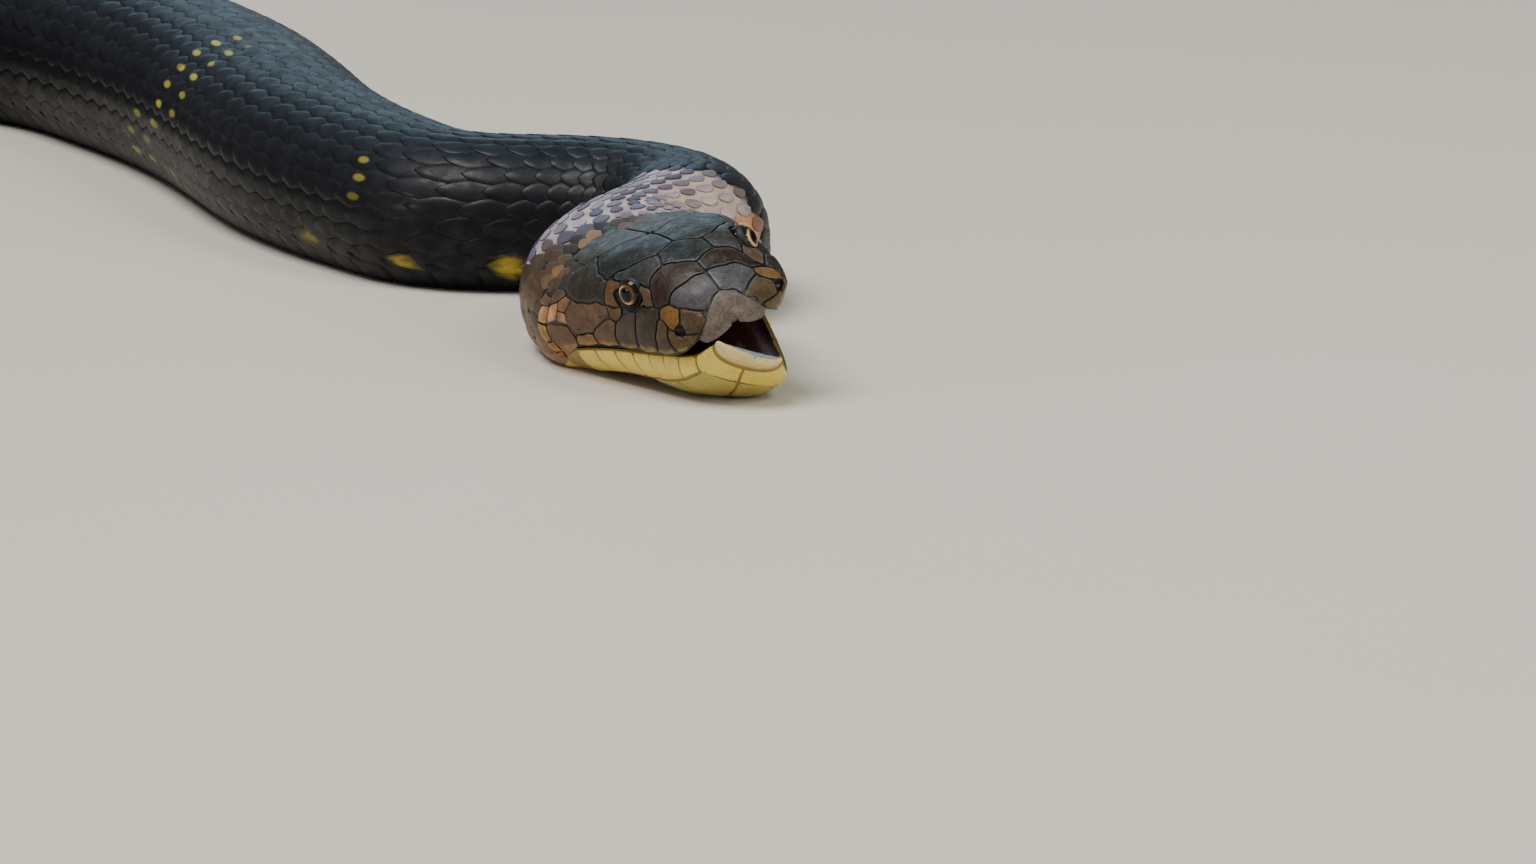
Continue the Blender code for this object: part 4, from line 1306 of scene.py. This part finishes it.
def dorsalScales():
    # One row per scale: distance, share of the girth, half length, half its share of the girth
    made = []
    low, high = scales["dorsal"]
    for start, end, rows in scales["rows"]:
        s, whole = alongSteps(start, end)
        width = (high - low) / rows
        for j in range(rows):
            mine = s[(whole + j) % 2 == 0]
            halfLong = profile(scales["step"], mine) * scales["halfLong"]
            made.append(np.stack(np.broadcast_arrays(
                mine, low + width * (j + 0.5), halfLong, width * scales["halfWide"]), -1))
    made = np.vstack(made)
    # A scale is left out where its middle, or a place near one of its ends, is under a shield
    s, q, halfLong, halfWide = made.T
    hidden = np.zeros(len(s), bool)
    for ds, dq in ((0, 0), (-0.55, 0), (0.4, 0), (0, -0.35), (0, 0.35)):
        hidden |= coveredByShields(s + ds * halfLong, angleAt(s, q + dq * halfWide))
    made = made[~hidden]
    # On the stretched neck the scales are small, with bare skin between
    stretched = palePlace(made[:, 0] - 3, angleAt(made[:, 0], made[:, 1]))
    for column, uneven in zip((2, 3), scales["neckUneven"]):
        made[:, column] *= 1 - (scales["neckShrink"] + uneven * chance.random(len(made))) * stretched
    made[:, 0] += chance.normal(0, 0.12, len(made))
    return made


def throatScales():
    # Small scales under the jaw, between the labials and the first belly plates
    along, across, size = scales["throat"]
    made = np.array([(s, q, *size) for i, s in enumerate(np.arange(*along))
                     for q in np.arange(*across) + across[2] / 2 * (i % 2)])
    return made[~coveredByShields(made[:, 0], angleAt(made[:, 0], made[:, 1]))]


def spotMarks(rows, middle, along, across):
    # For each point: distance from a line of spots, place across the spot, and how strong it is
    n = len(rows)
    low = ease((bands["lowFrom"] - np.minimum(middle, 180 - middle)) / 24)
    swept = lineTable[None, :, 0] + bands["lowBack"] * low[:, None]
    nearest = np.abs(rows[:, 0:1] - swept).argmin(axis=1)
    line, strength, halfLong = lineTable[nearest].T
    strength = strength * (0.35 + 0.65 * chance.random(n) ** 0.7)
    strength *= 1 - bands["faintness"] * between(middle, *bands["faint"])
    for at, (centre, spread) in bands["sparse"].items():
        strength = np.where(line == at, strength * ease(1.6 - np.abs(middle - centre) / spread), strength)
    shift = swept[np.arange(n), nearest] + chance.normal(0, 1.0, n)
    offset = (along - shift[:, None]) / (halfLong * (1 + bands["lowLonger"] * low))[:, None]
    beside = across * (girth(rows[:, 0]) * rows[:, 3] / bands["halfWide"])[:, None]
    strength = np.broadcast_to((strength * (1 - bands["lowFainter"] * low))[:, None], offset.shape)
    return np.stack([offset, beside, strength], -1)


def scaleMesh(name, rows, look):
    # Closed overlapping plates, each with a thin sunk underside and a middle point on top
    n, count = len(rows), scales["corners"]
    turn = 2 * np.pi * np.arange(count) / count
    a, b = np.cos(turn), np.sin(turn)
    size = squared(a, b, scales["power"])
    a, b = a * size, b * size * (1 - scales["taper"] * a)
    rings = len(scales["rings"])
    share, drop = (np.append(np.repeat(column, count), 0.0) for column in np.transpose(scales["rings"]))
    a, b = (np.append(np.tile(part, rings), 0.0) * share for part in (a, b))
    s = rows[:, 0:1] + rows[:, 2:3] * a
    angle = angleAt(s, rows[:, 1:2] + rows[:, 3:4] * b)
    s = np.minimum(s, bodyLength)
    small = np.clip(rows[:, 2:3] / 4.5, 0.4, 1)
    lift = small * (scales["tilt"] * a - scales["dome"] * b ** 2 + drop - scales["depth"])
    middle = angleAt(rows[:, 0], rows[:, 1])
    mark = spotMarks(rows, middle, s, b)
    uneven = 0.10 + 0.16 * palePlace(rows[:, 0], middle) + 0.14 * between(rows[:, 0], -20, 4, 6)
    tint = scaleTint(rows[:, 0], middle)[:, None, :] * np.exp(
        uneven[:, None, None] * chance.standard_normal((n, 1, 1)))
    tie = bakePlace(rows[:, 0], middle)[:, None, :] + np.stack([a, b], -1) * 0.0015
    last = (rings - 1) * count
    one = gridFaces(rings, count, closed=True) + fanFaces(last, count, last + count)
    one.append(tuple(range(count))[::-1])
    faces = [face for k in range(n) for face in moved(one, k * len(a))]
    meshPiece(name, place(s, angle, lift), faces, look, blotched(tint, s, angle),
              {"mark": mark, "edge": np.broadcast_to(1 - share, s.shape)}, tie)


def ventralMesh(name, start, end, look):
    # Wide plates across the belly, each a thin closed strip that overlaps the next
    s0, whole = alongSteps(start, end)
    s0 = s0[whole % 2 == 0][:, None, None]
    step = profile(scales["step"], s0)
    reach = scales["dorsal"][0] + 0.012
    q = np.linspace(-reach, reach, scales["bellyColumns"])
    a, lift = np.transpose(scales["bellyLoop"])[:, :, None]
    n, rings, columns = len(s0), len(a), len(q)
    sweep = 0.28 * (np.abs(q) / reach) ** 3         # the plates' ends lie further back
    s = np.minimum(s0 + step * (a + sweep), bodyLength)
    angle = angleAt(s, q)
    points = place(s, angle, lift * np.clip(step / 8, 0.3, 1))
    tint = scaleTint(s0, angle) * (1 + 0.06 * chance.standard_normal((n, 1, 1, 1)))
    tie = bakePlace(s0, 270.0) + np.stack(np.broadcast_arrays(a * 0.0015, q * 0.05), -1)
    ends = [r * columns for r in range(rings)]
    one = gridFaces(rings, columns)
    one += [(ends[-1] + c, ends[-1] + c + 1, c + 1, c) for c in range(columns - 1)]
    one += [tuple(ends), tuple(end + columns - 1 for end in ends)[::-1]]
    faces = [face for k in range(n) for face in moved(one, k * rings * columns)]
    meshPiece(name, points, faces, look, blotched(tint, s, angle),
              {"mark": np.zeros(points.shape), "edge": np.ones(s.shape)}, tie)


def scaleFinish(wire, spotColour):
    along, across, strength = wire.parts(wire.attribute("mark", 1))
    mottle, grain, shade, shine = grained(wire, scales)
    shade = shade * wire.attribute("edge", 2).ramp(0.0, 0.12, 0.6, 1.0)
    # Painted blue-teal sheen where a scale faces up
    paintedSheen = wire.facing().ramp(0.6, 1.0) * mottle.ramp(0.3, 0.65, 0.4, 1.0) * 0.5
    colour = paintedSheen.mix(shade.shading(wire.attribute("tint")), colours["paintedScaleSheen"])
    away = wire.math("SQRT", along * along + across * across)
    return {
        "Base Color": ((1 - away.ramp(0.6, 1.25)) * strength).mix(colour, spotColour),
        "Normal": wire.bump(grain * 0.6 + mottle * 0.4, 0.2, 0.0005),
        **shine,
    }


def buildScales():
    dorsalLook, bellyLook = (
        makeLook(name, lambda wire: scaleFinish(wire, colours[spot]), Coat_Roughness=0.25, IOR=1.28)
        for name, spot in (("dorsalScale", "bandYellow"), ("bellyScale", "edgeYellow")))
    rows = dorsalScales()
    for name, (start, end) in scales["pieces"].items():
        mine = rows[(rows[:, 0] >= start) & (rows[:, 0] < end)]
        scaleMesh("scales_" + name, mine, dorsalLook)
        print("scales", name, len(mine))
    scaleMesh("scales_throat", throatScales(), dorsalLook)
    ventralMesh("belly_front", -12, 1300, bellyLook)
    ventralMesh("belly_rear", 1300, bodyLength - 14, bellyLook)


buildScales()
print("scales built")

# Eyes
eye = {
    "gaze": {"eye_right": (0.44, 0.87, 0.17), "eye_left": (0.62, 0.78, 0.17)},  # ahead, outward, up
    # Rings of the iris: where each starts and ends, its soft edge, all in degrees, and its colour
    "iris": [(27.0, 30.0, 2.5, tone(64, 46, 24)),
             (30.0, 40.0, 2.5, tone(226, 184, 122)),
             (40.0, 52.0, 4.0, tone(34, 25, 18))],
    "pupil": tone(5, 5, 6),
    "outside": tone(6, 6, 7),
    "rimAim": (0.46, 0.86, 0.2),
    # The rim's section: degrees from its aim, and radius
    "rim": [(56, 3.9), (57, 4.06), (60, 4.16), (66, 4.22), (74, 4.2), (84, 4.0), (90, 3.6), (60, 3.6)],
    "rimWet": 0.05,
    "rows": 40,
    "columns": 64,
}


def eyeFinish(wire):
    fibre = wire.noise(3800.0).ramp(0.3, 0.7, 0.7, 1.3)
    return {"Base Color": fibre.shading(wire.attribute("tint")), "Roughness": 0.05, "Coat Weight": 1.0}


def eyeRings(centre, aim, side, section):
    # Closed rings of points round the way an eye looks, from degrees and radius of each
    gaze = aim[0] * aheadAxis + side * aim[1] * leftAxis + aim[2] * topAxis
    gaze = gaze / np.linalg.norm(gaze)
    across = np.cross(gaze, topAxis)
    across /= np.linalg.norm(across)
    spin = 2 * np.pi * np.arange(eye["columns"])[:, None] / eye["columns"]
    out = np.cos(spin) * across + np.sin(spin) * np.cross(across, gaze)
    degrees, radius = np.transpose(section)[:, :, None, None]
    bend = np.radians(degrees)
    return centre + radius * (np.cos(bend) * gaze + np.sin(bend) * out)


def eyeTint(degrees):
    # Colours of the eyeball's rows; painted light makes the iris ring brighter on one side
    degrees = degrees[:, None]
    spin = 2 * np.pi * np.arange(eye["columns"]) / eye["columns"]
    lit = 0.12 + 0.88 * ease(0.55 + 0.8 * np.cos(spin + 0.5))
    tint = eye["pupil"]
    for (start, end, soft, colour), share in zip(eye["iris"], (1.0, lit, 1.0)):
        tint = blendTo(tint, colour, share * between(degrees, start, end, soft))
    return blendTo(tint, eye["outside"], ease((degrees - eye["iris"][-1][1]) / 4))


def buildEyes():
    look = makeLook("eyeGlass", eyeFinish, Coat_Roughness=0.02, Coat_IOR=1.34, Specular_IOR_Level=0.0)
    rimLook = makeLook("eyeRimShade", skinFinish, Coat_Roughness=0.12)
    rows, columns = eye["rows"], eye["columns"]
    degrees = np.linspace(0.5, 179.5, rows)
    for name, middle in head["eyes"].items():
        side = math.copysign(1, middle[1])
        centre = fromHead([middle])[0]
        ball = eyeRings(centre, eye["gaze"][name], side, [(b, head["eyeRadius"]) for b in degrees])
        faces = gridFaces(rows, columns, closed=True)
        faces += [tuple(range(columns))[::-1], tuple(range((rows - 1) * columns, rows * columns))]
        item = meshPiece(name.replace("_", "_ball_"), ball, faces, look, eyeTint(degrees))
        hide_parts(name)
        # A soft rim of skin holds the eye, painted dark as the shade in its socket
        rim = eyeRings(centre, eye["rimAim"], side, eye["rim"])
        faces = gridFaces(len(rim), columns, closed=True)
        last = (len(rim) - 1) * columns
        faces += [(last + k, last + (k + 1) % columns, (k + 1) % columns, k) for k in range(columns)]
        meshPiece(name.replace("eye", "rim"), rim, faces, rimLook, colours["eyeRimShade"],
                  {"wet": np.full(rim.shape[:2], eye["rimWet"])})


buildEyes()
print("eyes built")

# Floor and light
stage = {
    "floorSize": 12.0,
    "worldColour": (0.86, 0.90, 1.0),
    "worldStrength": 0.2,
    "focus": (0.55, -0.05, 0.02),
    # Square lamps that face the focus: place, size in metres, watts, colour
    "lamps": {
        "keyLight": ((-0.3, -0.5, 2.3), 1.4, 66.0, (1.0, 0.97, 0.93)),
        "backLight": ((0.3, 2.8, 0.9), 1.2, 5.0, (0.56, 0.82, 1.0)),
        "eyeLight": ((1.6, -0.72, 1.4), 0.5, 8.0, (0.86, 1.0, 0.8)),
        "frontLight": ((-2.19, -1.47, 0.68), 0.6, 10.0, (1.0, 0.96, 0.92)),
        "sideLight": ((2.4, -1.4, 0.9), 1.0, 16.0, (1.0, 0.95, 0.88)),
    },
}


def floorFinish(wire):
    patchy = wire.noise(3.0, 2.0).ramp(0.3, 0.7, 0.0, 0.12)
    return {"Base Color": patchy.mix(colours["floor"], colours["floorPatch"]), "Roughness": 0.85}


def buildStage():
    mesh = bpy.data.meshes.new("floor")
    half = stage["floorSize"] / 2
    mesh.from_pydata([(-half, -half, 0), (half, -half, 0), (half, half, 0), (-half, half, 0)], [],
                     [(0, 1, 2, 3)])
    mesh.materials.append(makeLook("floorPaint", floorFinish))
    addItem("floor", mesh)
    world = bpy.data.worlds.new("studio")
    world.use_nodes = True
    sky = world.node_tree.nodes["Background"]
    sky.inputs["Color"].default_value = (*stage["worldColour"], 1.0)
    sky.inputs["Strength"].default_value = stage["worldStrength"]
    bpy.context.scene.world = world
    for name, (at, size, power, colour) in stage["lamps"].items():
        data = bpy.data.lights.new(name, "AREA")
        data.size = size
        data.energy = power
        data.color = colour
        lamp = addItem(name, data)
        lamp.location = at
        lamp.rotation_euler = (Vector(stage["focus"]) - Vector(at)).to_track_quat("-Z", "Y").to_euler()


buildStage()
print("stage built")
